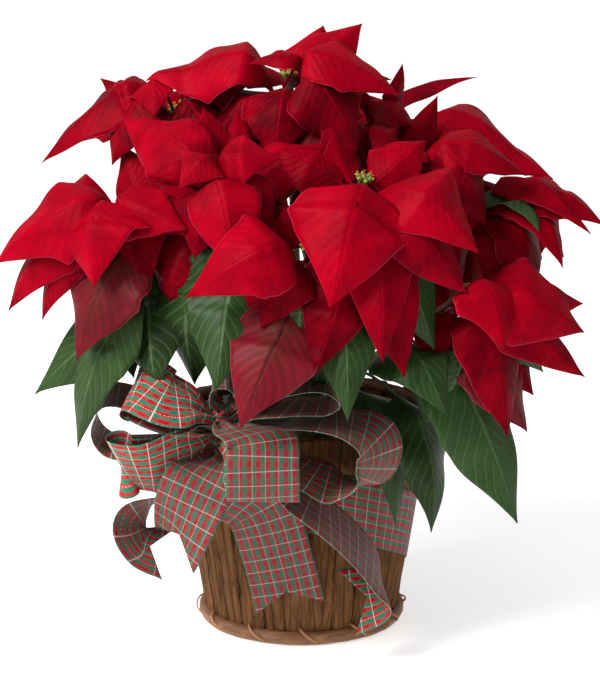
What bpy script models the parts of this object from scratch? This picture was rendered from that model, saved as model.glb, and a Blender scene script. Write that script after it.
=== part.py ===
"""A poinsettia in its nursery pot, set in a bark basket that wears a plaid ribbon bow.

Lengths are in millimetres and are turned into metres as each mesh is made. The plant faces -Y,
+Z is up, and the origin is the centre of the basket's foot, on the surface it stands on.
"""

import math
from dataclasses import dataclass

import bmesh
import bpy
import numpy as np
from mathutils import Vector
from mathutils.bvhtree import BVHTree

MM = 0.001

# Corners nearer than this, in metres, are one corner
WELD = 3e-7

# The basket and what stands in it
BASKET_HEIGHT = 185
FOOT_RADIUS = 81
RIM_RADIUS = 110
BARK_THICKNESS = 5
BOARD_THICKNESS = 9
SEAT_GAP = 0.35
WALL_SIDES = 26
HOOP_HEIGHT = 12
HOOP_THICKNESS = 6
LINER_THICKNESS = 1.2
LINER_TOP = 172
POT_HEIGHT = 158
POT_FOOT_RADIUS = 64
POT_RIM_RADIUS = 90
POT_WALL = 2
POT_LIP = 5
SOIL_TOP = 152

# The ribbon
RIBBON_WIDTH = 57
RIBBON_THICKNESS = 0.8
BAND_MIDDLE = 100
BAND_TILT = 40
BAND_HIGH_SIDE = (-0.57, -0.82)
KNOT = (-61.3, -106.2, 190)
KNOT_RADIUS = 12
KNOT_HEIGHT = 40
NOTCH_DEPTH = 17

# The plant
TRUNK_RADIUS = 8
TRUNK_TOP = 200
BRANCH_RADIUS = 4.2
SHOOT_RADIUS = 3.2
CUP_RADIUS = 5.5
STALK_WIDTH = 2.6
STALK_THICKNESS = 2.2
STALK_INSET = 2.3
STALK_GAP = 0.5
BLADE_THICKNESS = 1.1
BLADE_GAP = 4
REACH = 42
LIFT_SLOPE = 0.4
SPIRAL_STEP = 0.7

# Where the blade's cross rows stand, from its own base (0) to its tip (1)
BLADE_ROWS = (0.04, 0.22, 0.48, 0.76, 1.0)
TRIAL_ROWS = 13
TRIAL_COLUMNS = 5


@dataclass(frozen=True)
class Head:
    """A flower head: its place, and how far down its shoot the bracts are attached."""

    at: tuple
    shoot: float = 22


@dataclass(frozen=True)
class Blade:
    """A bract or leaf on a head's shoot. face turns its upper side to -Y; free stands clear."""

    head: str
    tip: tuple
    width: float
    arch: float = 14
    roll: float = 0
    drop: float = 10
    stalk: float = 12
    fold: float = 0.2
    face: float = 0.7
    green: bool = False
    free: bool = False


@dataclass(frozen=True)
class Leaf:
    """A leaf with its own node, on a branch at a fraction of the branch's length."""

    name: str
    branch: str
    along: float
    tip: tuple
    width: float
    arch: float = 16
    roll: float = 0
    stalk: float = 35
    fold: float = 0.2
    face: float = 0.9
    below_bow: bool = False
    colour: str = "green"


HEADS = {
    "top": Head((-10, 10, 461)),
    "front_left": Head((-64, -75, 391), 26),
    "front_right": Head((49, -85, 391), 52),
    "left": Head((-140, -50, 360), 30),
    "lower_right": Head((129, -95, 302), 36),
    "upper_right": Head((88, -10, 388)),
    "right_shoulder": Head((78, 60, 422)),
    "left_shoulder": Head((-105, 60, 426)),
    "back_top": Head((40, 115, 415)),
    "far_right": Head((150, 30, 345), 30),
    "centre": Head((5, -115, 342)),
    "back_left": Head((-75, 135, 365)),
    "back_right": Head((105, 130, 355)),
}

# The leaves that hang lowest, which everything else lies over
LEAVES = (
    Leaf("leaf_back_left", "back_left", 0.6, (-125, 205, 185), 66, face=0),
    Leaf("leaf_back", "back_right", 0.55, (35, 222, 180), 70, face=0),
    Leaf("leaf_back_right", "back_right", 0.6, (165, 170, 190), 64, face=0),
    Leaf("leaf_side_left", "left_shoulder", 0.5, (-195, 95, 215), 66, face=0),
    Leaf("leaf_on_bark", "centre", 0.3, (76, -94, 108), 40, arch=50, face=0, below_bow=True),
    Leaf("leaf_right_low", "lower_right", 0.45, (105, -103, 105), 50, arch=36, face=0, below_bow=True),
    Leaf("leaf_left_outer", "left", 0.56, (-215, -62, 203), 52, arch=20),
    Leaf("leaf_left_inner", "left", 0.72, (-178, -92, 170), 40, arch=31),
    Leaf("leaf_over_bow", "front_left", 0.55, (-66, -160, 221), 58, arch=26),
    Leaf("leaf_right_bright", "lower_right", 0.66, (173, -120, 118), 56),
    Leaf("leaf_front_left", "front_right", 0.55, (34, -170, 200), 49, arch=31),
    Leaf("leaf_front_right", "lower_right", 0.5, (116, -150, 192), 50, arch=20),
    Leaf("leaf_turning_right", "lower_right", 0.8, (173, -90, 177), 44, colour="turning"),
    Leaf("leaf_turning_left", "left", 0.82, (-176, -114, 243), 56, arch=26, colour="turning"),
    Leaf("leaf_turning_front", "centre", 0.78, (-48, -175, 203), 56, arch=15, colour="turning"),
)

# Bracts in the order in which they lie on each other, the lowest first
BRACTS = (
    Blade("back_left", (-170, 150, 320), 52, face=0),
    Blade("back_left", (-135, 210, 290), 56, face=0),
    Blade("back_left", (-10, 205, 310), 54, face=0),
    Blade("back_left", (-65, 238, 275), 62, face=0),
    Blade("back_left", (-40, 160, 415), 40, arch=-6, face=0, free=True),
    Blade("back_right", (200, 150, 300), 52, face=0),
    Blade("back_right", (160, 215, 285), 56, face=0),
    Blade("back_right", (35, 200, 300), 50, face=0),
    Blade("back_right", (90, 238, 272), 62, face=0),
    Blade("back_right", (122, 152, 392), 36, arch=-6, face=0, free=True),
    Blade("far_right", (225, 95, 305), 50, face=0),
    Blade("far_right", (165, 120, 330), 46, face=0),
    Blade("far_right", (134, -6, 371), 34, free=True),
    Blade("far_right", (200, -40, 285), 44),
    Blade("far_right", (179, -50, 306), 44, drop=22, green=True),
    Blade("far_right", (235, -35, 317), 40),
    Blade("far_right", (250, 0, 314), 52),
    Blade("left", (-220, 40, 330), 46),
    Blade("left", (-200, -70, 267), 40),
    Blade("left", (-230, -60, 272), 46),
    Blade("left", (-165, -88, 298), 40),
    Blade("left", (-148, 5, 405), 40, arch=-6, free=True),
    Blade("left", (-245, -70, 315), 62, arch=22),
    Blade("left", (-75, -110, 344), 44),
    Blade("left", (-150, -120, 292), 68, arch=20),
    Blade("left_shoulder", (-195, 110, 390), 48, face=0),
    Blade("left_shoulder", (-120, 165, 385), 52, face=0),
    Blade("left_shoulder", (-110, -10, 400), 40),
    Blade("left_shoulder", (-50, 110, 425), 40, face=0),
    Blade("left_shoulder", (-215, 40, 374), 46),
    Blade("left_shoulder", (-171, 75, 451), 34, arch=4, free=True),
    Blade("back_top", (-40, 185, 375), 50, face=0),
    Blade("back_top", (40, 215, 360), 60, face=0),
    Blade("back_top", (120, 185, 375), 52, face=0),
    Blade("back_top", (-25, 120, 425), 40, face=0),
    Blade("right_shoulder", (165, 115, 380), 50, face=0),
    Blade("right_shoulder", (25, 45, 425), 38),
    Blade("right_shoulder", (62, -8, 424), 36),
    Blade("right_shoulder", (84, 40, 468), 16, arch=4, free=True),
    Blade("back_top", (150, 90, 450), 30),
    Blade("upper_right", (160, 40, 378), 40),
    Blade("upper_right", (40, 0, 400), 36),
    Blade("upper_right", (100, -50, 372), 34),
    Blade("upper_right", (112, 10, 445), 24, arch=-8, free=True),
    Blade("upper_right", (183, -20, 366), 42),
    Blade("right_shoulder", (211, 30, 372), 64, arch=20, stalk=26),
    Blade("lower_right", (189, -70, 227), 34, drop=28, green=True),
    Blade("lower_right", (162, -132, 193), 50, drop=24),
    Blade("lower_right", (230, -45, 282), 42),
    Blade("lower_right", (225, -110, 237), 42),
    Blade("lower_right", (222, -90, 263), 60),
    Blade("lower_right", (149, -140, 248), 52),
    Blade("front_right", (102, -122, 258), 48, drop=44, stalk=24, green=True),
    Blade("front_right", (7, -150, 238), 54, drop=44, stalk=30),
    Blade("front_right", (77, -150, 241), 50, drop=40, stalk=26),
    Blade("front_right", (60, -165, 255), 46, drop=34, stalk=24),
    Blade("front_left", (-46, -148, 317), 50, arch=13),
    Blade("centre", (-32, -148, 279), 44),
    Blade("centre", (-12, -122, 378), 40, arch=4, free=True),
    Blade("centre", (-92, -150, 302), 58, arch=24),
    Blade("front_right", (125, -127, 296), 50, drop=24, stalk=20),
    Blade("front_left", (-100, -112, 360), 40),
    Blade("front_left", (-146, -10, 430), 52, arch=18),
    Blade("front_left", (26, -46, 405), 42, arch=20, drop=14),
    Blade("front_right", (-25, -60, 400), 42),
    Blade("front_left", (-2, -90, 392), 42),
    Blade("front_left", (-52, -40, 440), 26, arch=-7, free=True),
    Blade("front_left", (-79, -42, 443), 32, arch=-7, free=True),
    Blade("front_right", (20, -50, 443), 26, arch=-7, free=True),
    Blade("front_right", (26, -72, 428), 28, arch=-5, free=True),
    Blade("front_right", (100, -55, 418), 40),
    Blade("front_right", (136, -120, 328), 60, arch=18),
    Blade("front_right", (19, -175, 300), 78, arch=20, stalk=18),
    Blade("top", (-42, 75, 462), 40, arch=8, face=0),
    Blade("top", (76, 65, 451), 42, face=0.4),
    Blade("top", (18, 34, 500), 46, arch=-6, face=1.2),
    Blade("top", (52, 34, 494), 38, arch=-2, face=1.2),
    Blade("top", (-52, -10, 462), 20),
    Blade("top", (-125, 30, 437), 56, arch=18),
    Blade("top", (82, -30, 440), 44, arch=16),
)


@dataclass(frozen=True)
class Ribbon:
    """A length of ribbon: stations along it, each with the way its width runs there."""

    name: str
    stations: tuple
    notch: bool = False


def on_knot(angle, height):
    """A place just off the knot's side: an angle in degrees from +X, a height from its middle."""
    x, y, z = KNOT
    reach = KNOT_RADIUS + RIBBON_THICKNESS / 2 + SEAT_GAP
    turn = math.radians(angle)
    return (x + reach * math.cos(turn), y + reach * math.sin(turn), z + height)


RIBBONS = (
    Ribbon(
        "loop_left_upper",
        (
            (on_knot(205, 16), (-0.3, 0.9, 0.2)),
            ((-86, -122, 219), (0.2, 0.93, 0.25)),
            ((-107, -130, 226), (0.33, 0.8, 0.5)),
            ((-126, -122, 234), (0.36, 0.74, 0.56)),
            ((-134, -117, 231), (0.36, 0.74, 0.56)),
            ((-126, -112, 224), (0.36, 0.74, 0.56)),
            ((-106, -122, 215), (0.33, 0.8, 0.5)),
            ((-86, -117, 209), (0.2, 0.93, 0.25)),
            (on_knot(205, 9), (-0.3, 0.9, 0.2)),
        ),
    ),
    Ribbon(
        "loop_left_outer",
        (
            (on_knot(150, -7), (0.5, 0.85, 0)),
            ((-95, -90, 178), (0, 1, 0.05)),
            ((-125, -86, 173), (0, 1, 0.1)),
            ((-155, -86, 175), (0, 1, 0.1)),
            ((-167, -86, 193), (0, 1, 0.1)),
            ((-158, -86, 214), (0, 1, 0.1)),
            ((-135, -86, 212), (0, 1, 0.1)),
            ((-100, -92, 201), (0, 1, 0.05)),
            (on_knot(150, 3), (0.5, 0.85, 0)),
        ),
    ),
    Ribbon(
        "loop_left_lower",
        (
            (on_knot(215, -4), (0.3, -0.3, 0.9)),
            ((-87, -129, 178), (-0.1, -0.3, 0.9)),
            ((-118, -144, 171), (-0.25, -0.5, 0.8)),
            ((-141, -137, 170), (-0.25, -0.5, 0.8)),
            ((-140, -125, 170), (-0.2, -0.5, 0.8)),
            ((-110, -122, 170), (-0.1, -0.4, 0.9)),
            ((-76, -109.5, 180), (0, 0, 1)),
        ),
    ),
    Ribbon(
        "loop_top",
        (
            ((-64.5, -106.2, 211.3), (0, 1, 0)),
            ((-70, -108, 222), (0, 1, 0.04)),
            ((-69, -112, 236), (0, 1, 0.15)),
            ((-58, -112, 237), (0, 1, 0.15)),
            ((-52, -109, 223), (0, 1, 0.04)),
            ((-58, -106.2, 211.3), (0, 1, 0)),
        ),
    ),
    Ribbon(
        "loop_front",
        (
            (on_knot(-80, 10), (1, 0.2, 0)),
            ((-50, -140, 204), (1, 0.2, 0)),
            ((-32, -166, 202), (1, 0.1, -0.03)),
            ((-30, -180, 181), (1, 0.1, -0.05)),
            ((-30, -174, 156), (1, 0.1, -0.05)),
            ((-30, -160, 152), (1, 0.1, -0.05)),
            ((-37, -142, 172), (1, 0.2, 0)),
            ((-56.5, -121, 188), (1, 0.2, 0)),
        ),
    ),
    Ribbon(
        "loop_right_lower",
        (
            (on_knot(-10, 2), (0.2, 0.95, 0)),
            ((-20, -118, 198), (0.6, 0.8, 0)),
            ((10, -133, 206), (0.66, 0.74, 0)),
            ((38, -135, 204), (0.66, 0.74, 0)),
            ((57, -135, 194), (0.66, 0.74, 0)),
            ((62, -135, 176), (0.66, 0.74, 0)),
            ((52, -135, 157), (0.66, 0.74, 0)),
            ((30, -134, 153), (0.66, 0.74, 0)),
            ((4, -131, 163), (0.6, 0.8, 0)),
            (on_knot(-15, -8), (0.3, 0.95, 0)),
        ),
    ),
    Ribbon(
        "loop_right_upper",
        (
            (on_knot(-35, 13), (0.5, 0.85, 0)),
            ((-30, -122, 224), (0.3, 0.95, 0)),
            ((-4, -130, 236), (0, 1, 0)),
            ((17, -131, 237), (0, 1, 0)),
            ((29, -130, 228), (0, 1, 0)),
            ((20, -128, 218), (0, 1, 0)),
            ((-4, -125, 216), (0, 1, 0)),
            ((-30, -116, 211), (0.2, 0.95, 0)),
            ((-45.5, -105, 203), (0, 1, 0)),
        ),
    ),
    Ribbon(
        "tail_left_curled",
        (
            (on_knot(150, -18), (0.5, 0.85, 0)),
            ((-98, -96, 140), (0.2, 0.95, -0.1)),
            ((-122, -104, 128), (0.3, 0.94, -0.14)),
            ((-133, -114, 114), (0.54, 0.84, -0.07)),
            ((-124, -120, 100), (0.5, 0.84, 0.2)),
            ((-106, -120, 93), (0.4, 0.82, 0.4)),
        ),
        notch=True,
    ),
    Ribbon(
        "tail_left",
        (
            (on_knot(262, -15), (1, -0.1, 0)),
            ((-78, -149, 165), (1, 0.15, 0)),
            ((-89, -156, 143), (0.9, -0.3, -0.1)),
            ((-96, -152, 122), (0.75, -0.6, -0.15)),
            ((-101, -144, 104), (0.6, -0.75, -0.2)),
        ),
        notch=True,
    ),
    Ribbon(
        "tail_centre",
        (
            (on_knot(-68, -19), (1, 0.3, 0)),
            ((-58, -131, 150), (1, 0.1, 0.05)),
            ((-33, -122, 128), (0.97, 0, 0.15)),
            ((-20, -108, 86), (0.95, -0.05, 0.2)),
            ((-9, -95, 37), (0.95, -0.05, 0.23)),
        ),
        notch=True,
    ),
    Ribbon(
        "tail_right",
        (
            (on_knot(-5, -17), (0, 1, 0)),
            ((-17, -126.5, 160), (0.2, 0.95, 0.1)),
            ((-2, -135, 146), (0.3, 0.92, 0.1)),
            ((16, -135, 131), (0.2, 0.97, 0.15)),
            ((40, -124, 106), (0.2, 0.97, 0.15)),
            ((59, -114, 79), (0.1, 0.95, 0.25)),
            ((64, -109, 57), (-0.2, 0.8, 0.5)),
            ((37, -107, 46), (-0.48, 0.56, 0.68)),
        ),
        notch=True,
    ),
)


def vec(values):
    """A numpy vector."""
    return np.array(values, float)


def unit(vector):
    """The vector at length one."""
    return vector / np.linalg.norm(vector)


def material(name, colour, roughness, metallic=0.0):
    """A plain finish in one colour."""
    made = bpy.data.materials.new(name)
    made.use_nodes = True
    shader = made.node_tree.nodes["Principled BSDF"]
    shader.inputs["Base Color"].default_value = (*colour, 1)
    shader.inputs["Roughness"].default_value = roughness
    shader.inputs["Metallic"].default_value = metallic
    return made


def solid(name, points, faces, finish):
    """An object of one closed mesh, from points in millimetres."""
    mesh = bpy.data.meshes.new(name)
    mesh.from_pydata([tuple(p * MM for p in point) for point in points], [], faces)
    shape = bmesh.new()
    shape.from_mesh(mesh)
    bmesh.ops.recalc_face_normals(shape, faces=shape.faces)
    if shape.calc_volume(signed=True) < 0:
        bmesh.ops.reverse_faces(shape, faces=shape.faces)
    bmesh.ops.triangulate(shape, faces=[face for face in shape.faces if len(face.verts) > 4])
    shape.to_mesh(mesh)
    shape.free()
    mesh.materials.append(finish)
    made = bpy.data.objects.new(name, mesh)
    bpy.context.scene.collection.objects.link(made)
    return made


def keep_outside(mesh):
    """Keep the largest of a mesh's separate skins: joined pieces can close small pockets in."""
    shape = bmesh.new()
    shape.from_mesh(mesh)
    bmesh.ops.remove_doubles(shape, verts=shape.verts, dist=WELD)
    left = set(shape.faces)
    skins = []
    while left:
        skin, front = [], [left.pop()]
        while front:
            face = front.pop()
            skin.append(face)
            whole = [edge for edge in face.edges if len(edge.link_faces) == 2]
            near = {other for edge in whole for other in edge.link_faces} & left
            front += near
            left -= near
        skins.append(skin)
    skins.sort(key=len)
    inner = [face for skin in skins[:-1] for face in skin]
    bmesh.ops.delete(shape, geom=inner, context="FACES")
    shape.to_mesh(mesh)
    shape.free()


def joined(name, body, parts):
    """The body with the parts united to it, as one object, with the parts gone.

    The exact solver loses some of these thin closed blades, so the manifold one joins them.
    """
    for part in parts:
        union = body.modifiers.new("join", "BOOLEAN")
        union.operation = "UNION"
        union.solver = "MANIFOLD"
        union.object = part
    view = bpy.context.evaluated_depsgraph_get()
    mesh = bpy.data.meshes.new_from_object(body.evaluated_get(view))
    keep_outside(mesh)
    body.modifiers.clear()
    body.data = mesh
    body.name = name
    for part in parts:
        bpy.data.objects.remove(part)
    return body


def turned(name, profile, finish, sides=WALL_SIDES):
    """A closed outline of (radius, height) points, turned round the upright axis."""
    points, rings = [], []
    for radius, height in profile:
        ring = []
        count = sides if radius > 0 else 1
        for i in range(count):
            angle = 2 * math.pi * i / sides
            points.append((radius * math.cos(angle), radius * math.sin(angle), height))
            ring.append(len(points) - 1)
        rings.append(ring)
    faces = []
    for lower, upper in zip(rings, rings[1:] + rings[:1]):
        for i in range(sides):
            corners = [lower[i % len(lower)], lower[(i + 1) % len(lower)]]
            corners += [upper[(i + 1) % len(upper)], upper[i % len(upper)]]
            corners = list(dict.fromkeys(corners))
            if len(corners) > 2:
                faces.append(corners)
    return solid(name, points, faces, finish)


def sleeve(rings, name, finish):
    """A closed tube through rings of points, each ring the same size."""
    sides = len(rings[0])
    points = [point for ring in rings for point in ring]
    faces = []
    for row in range(len(rings) - 1):
        start, end = row * sides, (row + 1) * sides
        for i in range(sides):
            j = (i + 1) % sides
            faces.append((start + i, start + j, end + j, end + i))
    faces.append(tuple(range(sides)))
    faces.append(tuple(range((len(rings) - 1) * sides, len(rings) * sides)))
    return solid(name, points, faces, finish)


def tube(path, radii, sides, name, finish):
    """A round tube along a path, with a radius at each of its points."""
    path = [vec(point) for point in path]
    rings = []
    for i, centre in enumerate(path):
        ahead = unit(path[min(i + 1, len(path) - 1)] - path[max(i - 1, 0)])
        across = unit(np.cross(ahead, vec((0.31, 0.95, 0.05))))
        third = np.cross(ahead, across)
        angles = [2 * math.pi * k / sides for k in range(sides)]
        rings.append([centre + radii[i] * (math.cos(a) * across + math.sin(a) * third) for a in angles])
    return sleeve(rings, name, finish)


def bezier(points, u):
    """A point on the cubic curve through four control points."""
    a, b, c, d = points
    v = 1 - u
    return a * v**3 + 3 * b * u * v**2 + 3 * c * u**2 * v + d * u**3


def head_axis(head):
    """The way a head's shoot points: up and away from the trunk."""
    x, y, z = head.at
    return unit(vec((x, y, 1.1 * (z - 190))))


def branch_curve(head):
    """The branch's control points, from inside the trunk to the foot of the shoot."""
    axis = head_axis(head)
    end = vec(head.at) - axis * (head.shoot + SEAT_GAP)
    start = vec((0, 0, TRUNK_TOP - 12))
    rise = end[2] - start[2]
    first = start + vec((0.35 * end[0], 0.35 * end[1], 0.28 * rise))
    second = end - axis * 0.35 * np.linalg.norm(end - start)
    return start, first, second, end


def profile(x):
    """A blade's half width at a fraction of its length, as a share of the widest."""
    x = min(max(x, 0), 1)
    return max((x / 0.36) ** 0.58 * ((1 - x) / 0.64) ** 1.03, 0.025)


def blade_rows(base, tip, outward, shape, fractions, columns):
    """The middle surface of a blade: rows of points, each row's normal, and each row's place.

    The blade's midrib is an arch from base to tip that bulges along outward. fractions are
    places on the blade; the stalk comes before them.
    """
    base, tip = vec(base), vec(tip)
    chord = tip - base
    length = np.linalg.norm(chord)
    ahead = chord / length
    up = unit(outward - ahead * outward.dot(ahead))
    turn = math.radians(shape.roll)
    up = up * math.cos(turn) + np.cross(ahead, up) * math.sin(turn)
    side = np.cross(ahead, up)
    stalk = min(shape.stalk / length, 0.45)
    places = [0.0] + [stalk + (1 - stalk) * x for x in fractions]
    rows, normals = [], []
    for place, x in zip(places, (-1,) + tuple(fractions)):
        bulge = up * shape.arch * 4 * place * (1 - place)
        centre = base + chord * place + bulge
        slope = unit(chord + up * shape.arch * 4 * (1 - 2 * place))
        normal = np.cross(side, slope)
        half = STALK_WIDTH / 2 if x < 0 else shape.width / 2 * profile(x)
        half = max(half, STALK_WIDTH / 2 if x < 0.1 else 0)
        sag = 0 if x < 0 else shape.fold * half
        across = np.linspace(-1, 1, columns)
        rows.append([centre + side * half * v - normal * sag * v * v for v in across])
        normals.append(normal)
    return np.array(rows), np.array(normals), np.array(places), up, length


def lifts(rows, places, up, length, placed):
    """How far each row must rise along up to clear the blades already placed."""
    if not placed["faces"]:
        return np.zeros(len(rows))
    tree = BVHTree.FromPolygons(placed["points"], placed["faces"])
    way = Vector(up)
    needs = np.zeros(len(rows))
    for i, row in enumerate(rows):
        for point in row:
            origin = Vector(point) + way * REACH
            distance = tree.ray_cast(origin, -way, REACH + BLADE_GAP)[3]
            if distance is not None:
                needs[i] = max(needs[i], REACH - distance + BLADE_GAP)
    spans = np.abs(places[:, None] - places[None, :]) * length
    spread = np.where(needs > 0, needs, -REACH)[None, :] - LIFT_SLOPE * spans
    eased = np.clip(places / 0.25, 0, 1)
    return np.clip(spread.max(axis=1), 0, None) * eased * eased * (3 - 2 * eased)


def lay(rows, placed):
    """Add a surface, three points to a row, to the ones that later blades must clear."""
    first = len(placed["points"])
    placed["points"] += [tuple(point) for row in rows for point in row]
    for i in range(len(rows) - 1):
        for j in range(2):
            a = first + i * 3 + j
            placed["faces"] += [(a, a + 1, a + 4), (a, a + 4, a + 3)]


def settled(base, tip, outward, shape, placed, free=False):
    """A blade's rows and normals, after it has risen to lie on those below unless it is free."""
    trial = np.linspace(0.03, 1, TRIAL_ROWS)
    rows, _, places, up, length = blade_rows(base, tip, outward, shape, trial, TRIAL_COLUMNS)
    rise = lifts(rows, places, up, length, placed)
    rows, normals, own_places, up, _ = blade_rows(base, tip, outward, shape, BLADE_ROWS, 3)
    if not free:
        rows = rows + np.interp(own_places, places, rise)[:, None, None] * up
        lay(rows, placed)
    return rows, normals


def blade_solid(name, rows, normals, finish):
    """A closed thin solid round a blade's middle surface."""
    rings = []
    for i, row in enumerate(rows):
        thick = STALK_THICKNESS if i == 0 else BLADE_THICKNESS
        offset = normals[i] * thick / 2
        rings.append([point + offset for point in row] + [point - offset for point in row[::-1]])
    points = [point for ring in rings for point in ring]
    size = len(rings[0])
    faces = []
    for r in range(len(rings) - 1):
        for i in range(size):
            j = (i + 1) % size
            faces.append((r * size + i, r * size + j, (r + 1) * size + j, (r + 1) * size + i))
    last = (len(rings) - 1) * size
    for start in (0, last):
        faces += [(start + k, start + k + 1, start + 4 - k, start + 5 - k) for k in (0, 1)]
    return solid(name, points, faces, finish)


def smooth_path(values, count):
    """Points at even steps along a smooth curve through the given values."""
    values = np.array(values, float)
    ends = np.vstack([2 * values[0] - values[1], values, 2 * values[-1] - values[-2]])
    made = []
    for step in np.linspace(0, len(values) - 1, count):
        k = min(int(step), len(values) - 2)
        t = step - k
        a, b, c, d = ends[k : k + 4]
        made.append(
            0.5 * (2 * b + (c - a) * t + (2 * a - 5 * b + 4 * c - d) * t**2 + (3 * b - a - 3 * c + d) * t**3)
        )
    return np.array(made)


def ways_out(rows):
    """The way out of a surface, three points to a row, at each of its points."""
    ways = np.zeros_like(rows)
    for i in range(len(rows) - 1):
        for j in range(2):
            a, b, c, d = (i, j), (i, j + 1), (i + 1, j + 1), (i + 1, j)
            for corners in ((a, b, c), (a, c, d)):
                first, second, third = (rows[corner] for corner in corners)
                for corner in corners:
                    ways[corner] += np.cross(second - first, third - first)
    return ways / np.linalg.norm(ways, axis=2, keepdims=True)


def ribbon_solid(ribbon, finish, placed, count=12):
    """A thin closed solid of ribbon, with a V cut at its end where it has one."""
    centres = smooth_path([station[0] for station in ribbon.stations], count)
    widths = smooth_path([unit(vec(station[1])) for station in ribbon.stations], count)
    rows = []
    for i, centre in enumerate(centres):
        ahead = unit(centres[min(i + 1, count - 1)] - centres[max(i - 1, 0)])
        side = unit(widths[i] - ahead * widths[i].dot(ahead))
        gather = min(1, 0.3 + 0.7 * min(i, 3) / 3)
        if not ribbon.notch:
            gather = min(gather, 0.3 + 0.7 * min(count - 1 - i, 3) / 3)
        half = side * RIBBON_WIDTH / 2 * gather
        cut = ahead * (NOTCH_DEPTH if ribbon.notch and i == count - 1 else 0)
        rows.append([centre - half, centre - cut, centre + half])
    rows = np.array(rows)
    lay(rows, placed)
    offsets = ways_out(rows) * RIBBON_THICKNESS / 2
    rings = [[*(row + offset), *(row - offset)[::-1]] for row, offset in zip(rows, offsets)]
    points = [point for ring in rings for point in ring]
    faces = []
    for r in range(count - 1):
        for i in range(6):
            j = (i + 1) % 6
            corners = (r * 6 + i, r * 6 + j, r * 6 + 6 + j, r * 6 + 6 + i)
            # Both skins split along the same diagonal, or a twist passes one through the other
            a, b, c, d = corners if i < 3 else corners[1:] + corners[:1]
            faces += [(a, b, c), (a, c, d)]
    for start in (0, 6 * count - 6):
        faces += [(start + k, start + k + 1, start + 4 - k, start + 5 - k) for k in (0, 1)]
    return solid(ribbon.name, points, faces, finish)


def holder(finishes):
    """The basket's bark wall, board, foot hoop and liner, the nursery pot and its soil."""

    def bark_radius(height):
        return FOOT_RADIUS + (RIM_RADIUS - FOOT_RADIUS) * height / BASKET_HEIGHT

    low = SEAT_GAP
    turned(
        "bark_wall",
        (
            (bark_radius(low) - BARK_THICKNESS, low),
            (bark_radius(low), low),
            (RIM_RADIUS, BASKET_HEIGHT),
            (RIM_RADIUS - BARK_THICKNESS, BASKET_HEIGHT),
        ),
        finishes["bark"],
    )
    board_radius = bark_radius(0) - BARK_THICKNESS - SEAT_GAP
    turned("base_board", ((0, 0), (board_radius, 0), (board_radius, BOARD_THICKNESS), (0, BOARD_THICKNESS)),
           finishes["board"])
    hoop_top = low + HOOP_HEIGHT
    turned(
        "foot_hoop",
        (
            (bark_radius(low) + SEAT_GAP, low),
            (bark_radius(low) + HOOP_THICKNESS, low + 2),
            (bark_radius(low) + HOOP_THICKNESS + 1, low + HOOP_HEIGHT / 2),
            (bark_radius(hoop_top) + HOOP_THICKNESS - 1, hoop_top - 1),
            (bark_radius(hoop_top) + SEAT_GAP, hoop_top),
        ),
        finishes["hoop"],
    )
    liner_foot = BOARD_THICKNESS + SEAT_GAP
    inside = BARK_THICKNESS + 2 * SEAT_GAP
    liner_low = bark_radius(liner_foot) - inside
    liner_high = bark_radius(LINER_TOP) - inside
    turned(
        "liner",
        (
            (0, liner_foot),
            (liner_low, liner_foot),
            (liner_high, LINER_TOP),
            (liner_high - LINER_THICKNESS, LINER_TOP),
            (liner_low - LINER_THICKNESS, liner_foot + LINER_THICKNESS),
            (0, liner_foot + LINER_THICKNESS),
        ),
        finishes["liner"],
    )
    pot_foot = liner_foot + LINER_THICKNESS + SEAT_GAP
    pot_top = pot_foot + POT_HEIGHT
    turned(
        "nursery_pot",
        (
            (0, pot_foot),
            (POT_FOOT_RADIUS, pot_foot),
            (POT_RIM_RADIUS - POT_LIP, pot_top - 14),
            (POT_RIM_RADIUS, pot_top - 14),
            (POT_RIM_RADIUS, pot_top),
            (POT_RIM_RADIUS - POT_WALL, pot_top),
            (POT_RIM_RADIUS - POT_LIP - POT_WALL, pot_top - 14),
            (POT_FOOT_RADIUS - POT_WALL, pot_foot + POT_WALL),
            (0, pot_foot + POT_WALL),
        ),
        finishes["pot"],
    )
    inner = POT_WALL + SEAT_GAP
    soil_foot = pot_foot + inner
    share = (SOIL_TOP - pot_foot) / (POT_HEIGHT - 14)
    soil_high = POT_FOOT_RADIUS + (POT_RIM_RADIUS - POT_LIP - POT_FOOT_RADIUS) * share - inner - 0.3
    turned(
        "soil",
        (
            (0, soil_foot),
            (POT_FOOT_RADIUS - inner - 0.3, soil_foot),
            (soil_high, SOIL_TOP - 3),
            (soil_high * 0.6, SOIL_TOP),
            (0, SOIL_TOP),
        ),
        finishes["soil"],
    )
    band(bark_radius, finishes["ribbon"])


def band(bark_radius, finish):
    """The ribbon round the basket, higher at the knot's side than at the back."""
    rings = []
    for i in range(WALL_SIDES):
        angle = 2 * math.pi * i / WALL_SIDES
        way = (math.cos(angle), math.sin(angle))
        middle = BAND_MIDDLE + BAND_TILT * (way[0] * BAND_HIGH_SIDE[0] + way[1] * BAND_HIGH_SIDE[1])
        ring = []
        for height, skin in ((-0.5, 0), (0.5, 0), (0.5, RIBBON_THICKNESS), (-0.5, RIBBON_THICKNESS)):
            level = middle + height * RIBBON_WIDTH
            radius = bark_radius(level) + SEAT_GAP + skin
            ring.append((radius * way[0], radius * way[1], level))
        rings.append(ring)
    points = [point for ring in rings for point in ring]
    faces = []
    for r in range(WALL_SIDES):
        for i in range(4):
            a, b = 4 * r, 4 * ((r + 1) % WALL_SIDES)
            faces.append((a + i, a + (i + 1) % 4, b + (i + 1) % 4, b + i))
    solid("ribbon_band", points, faces, finish)


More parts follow.
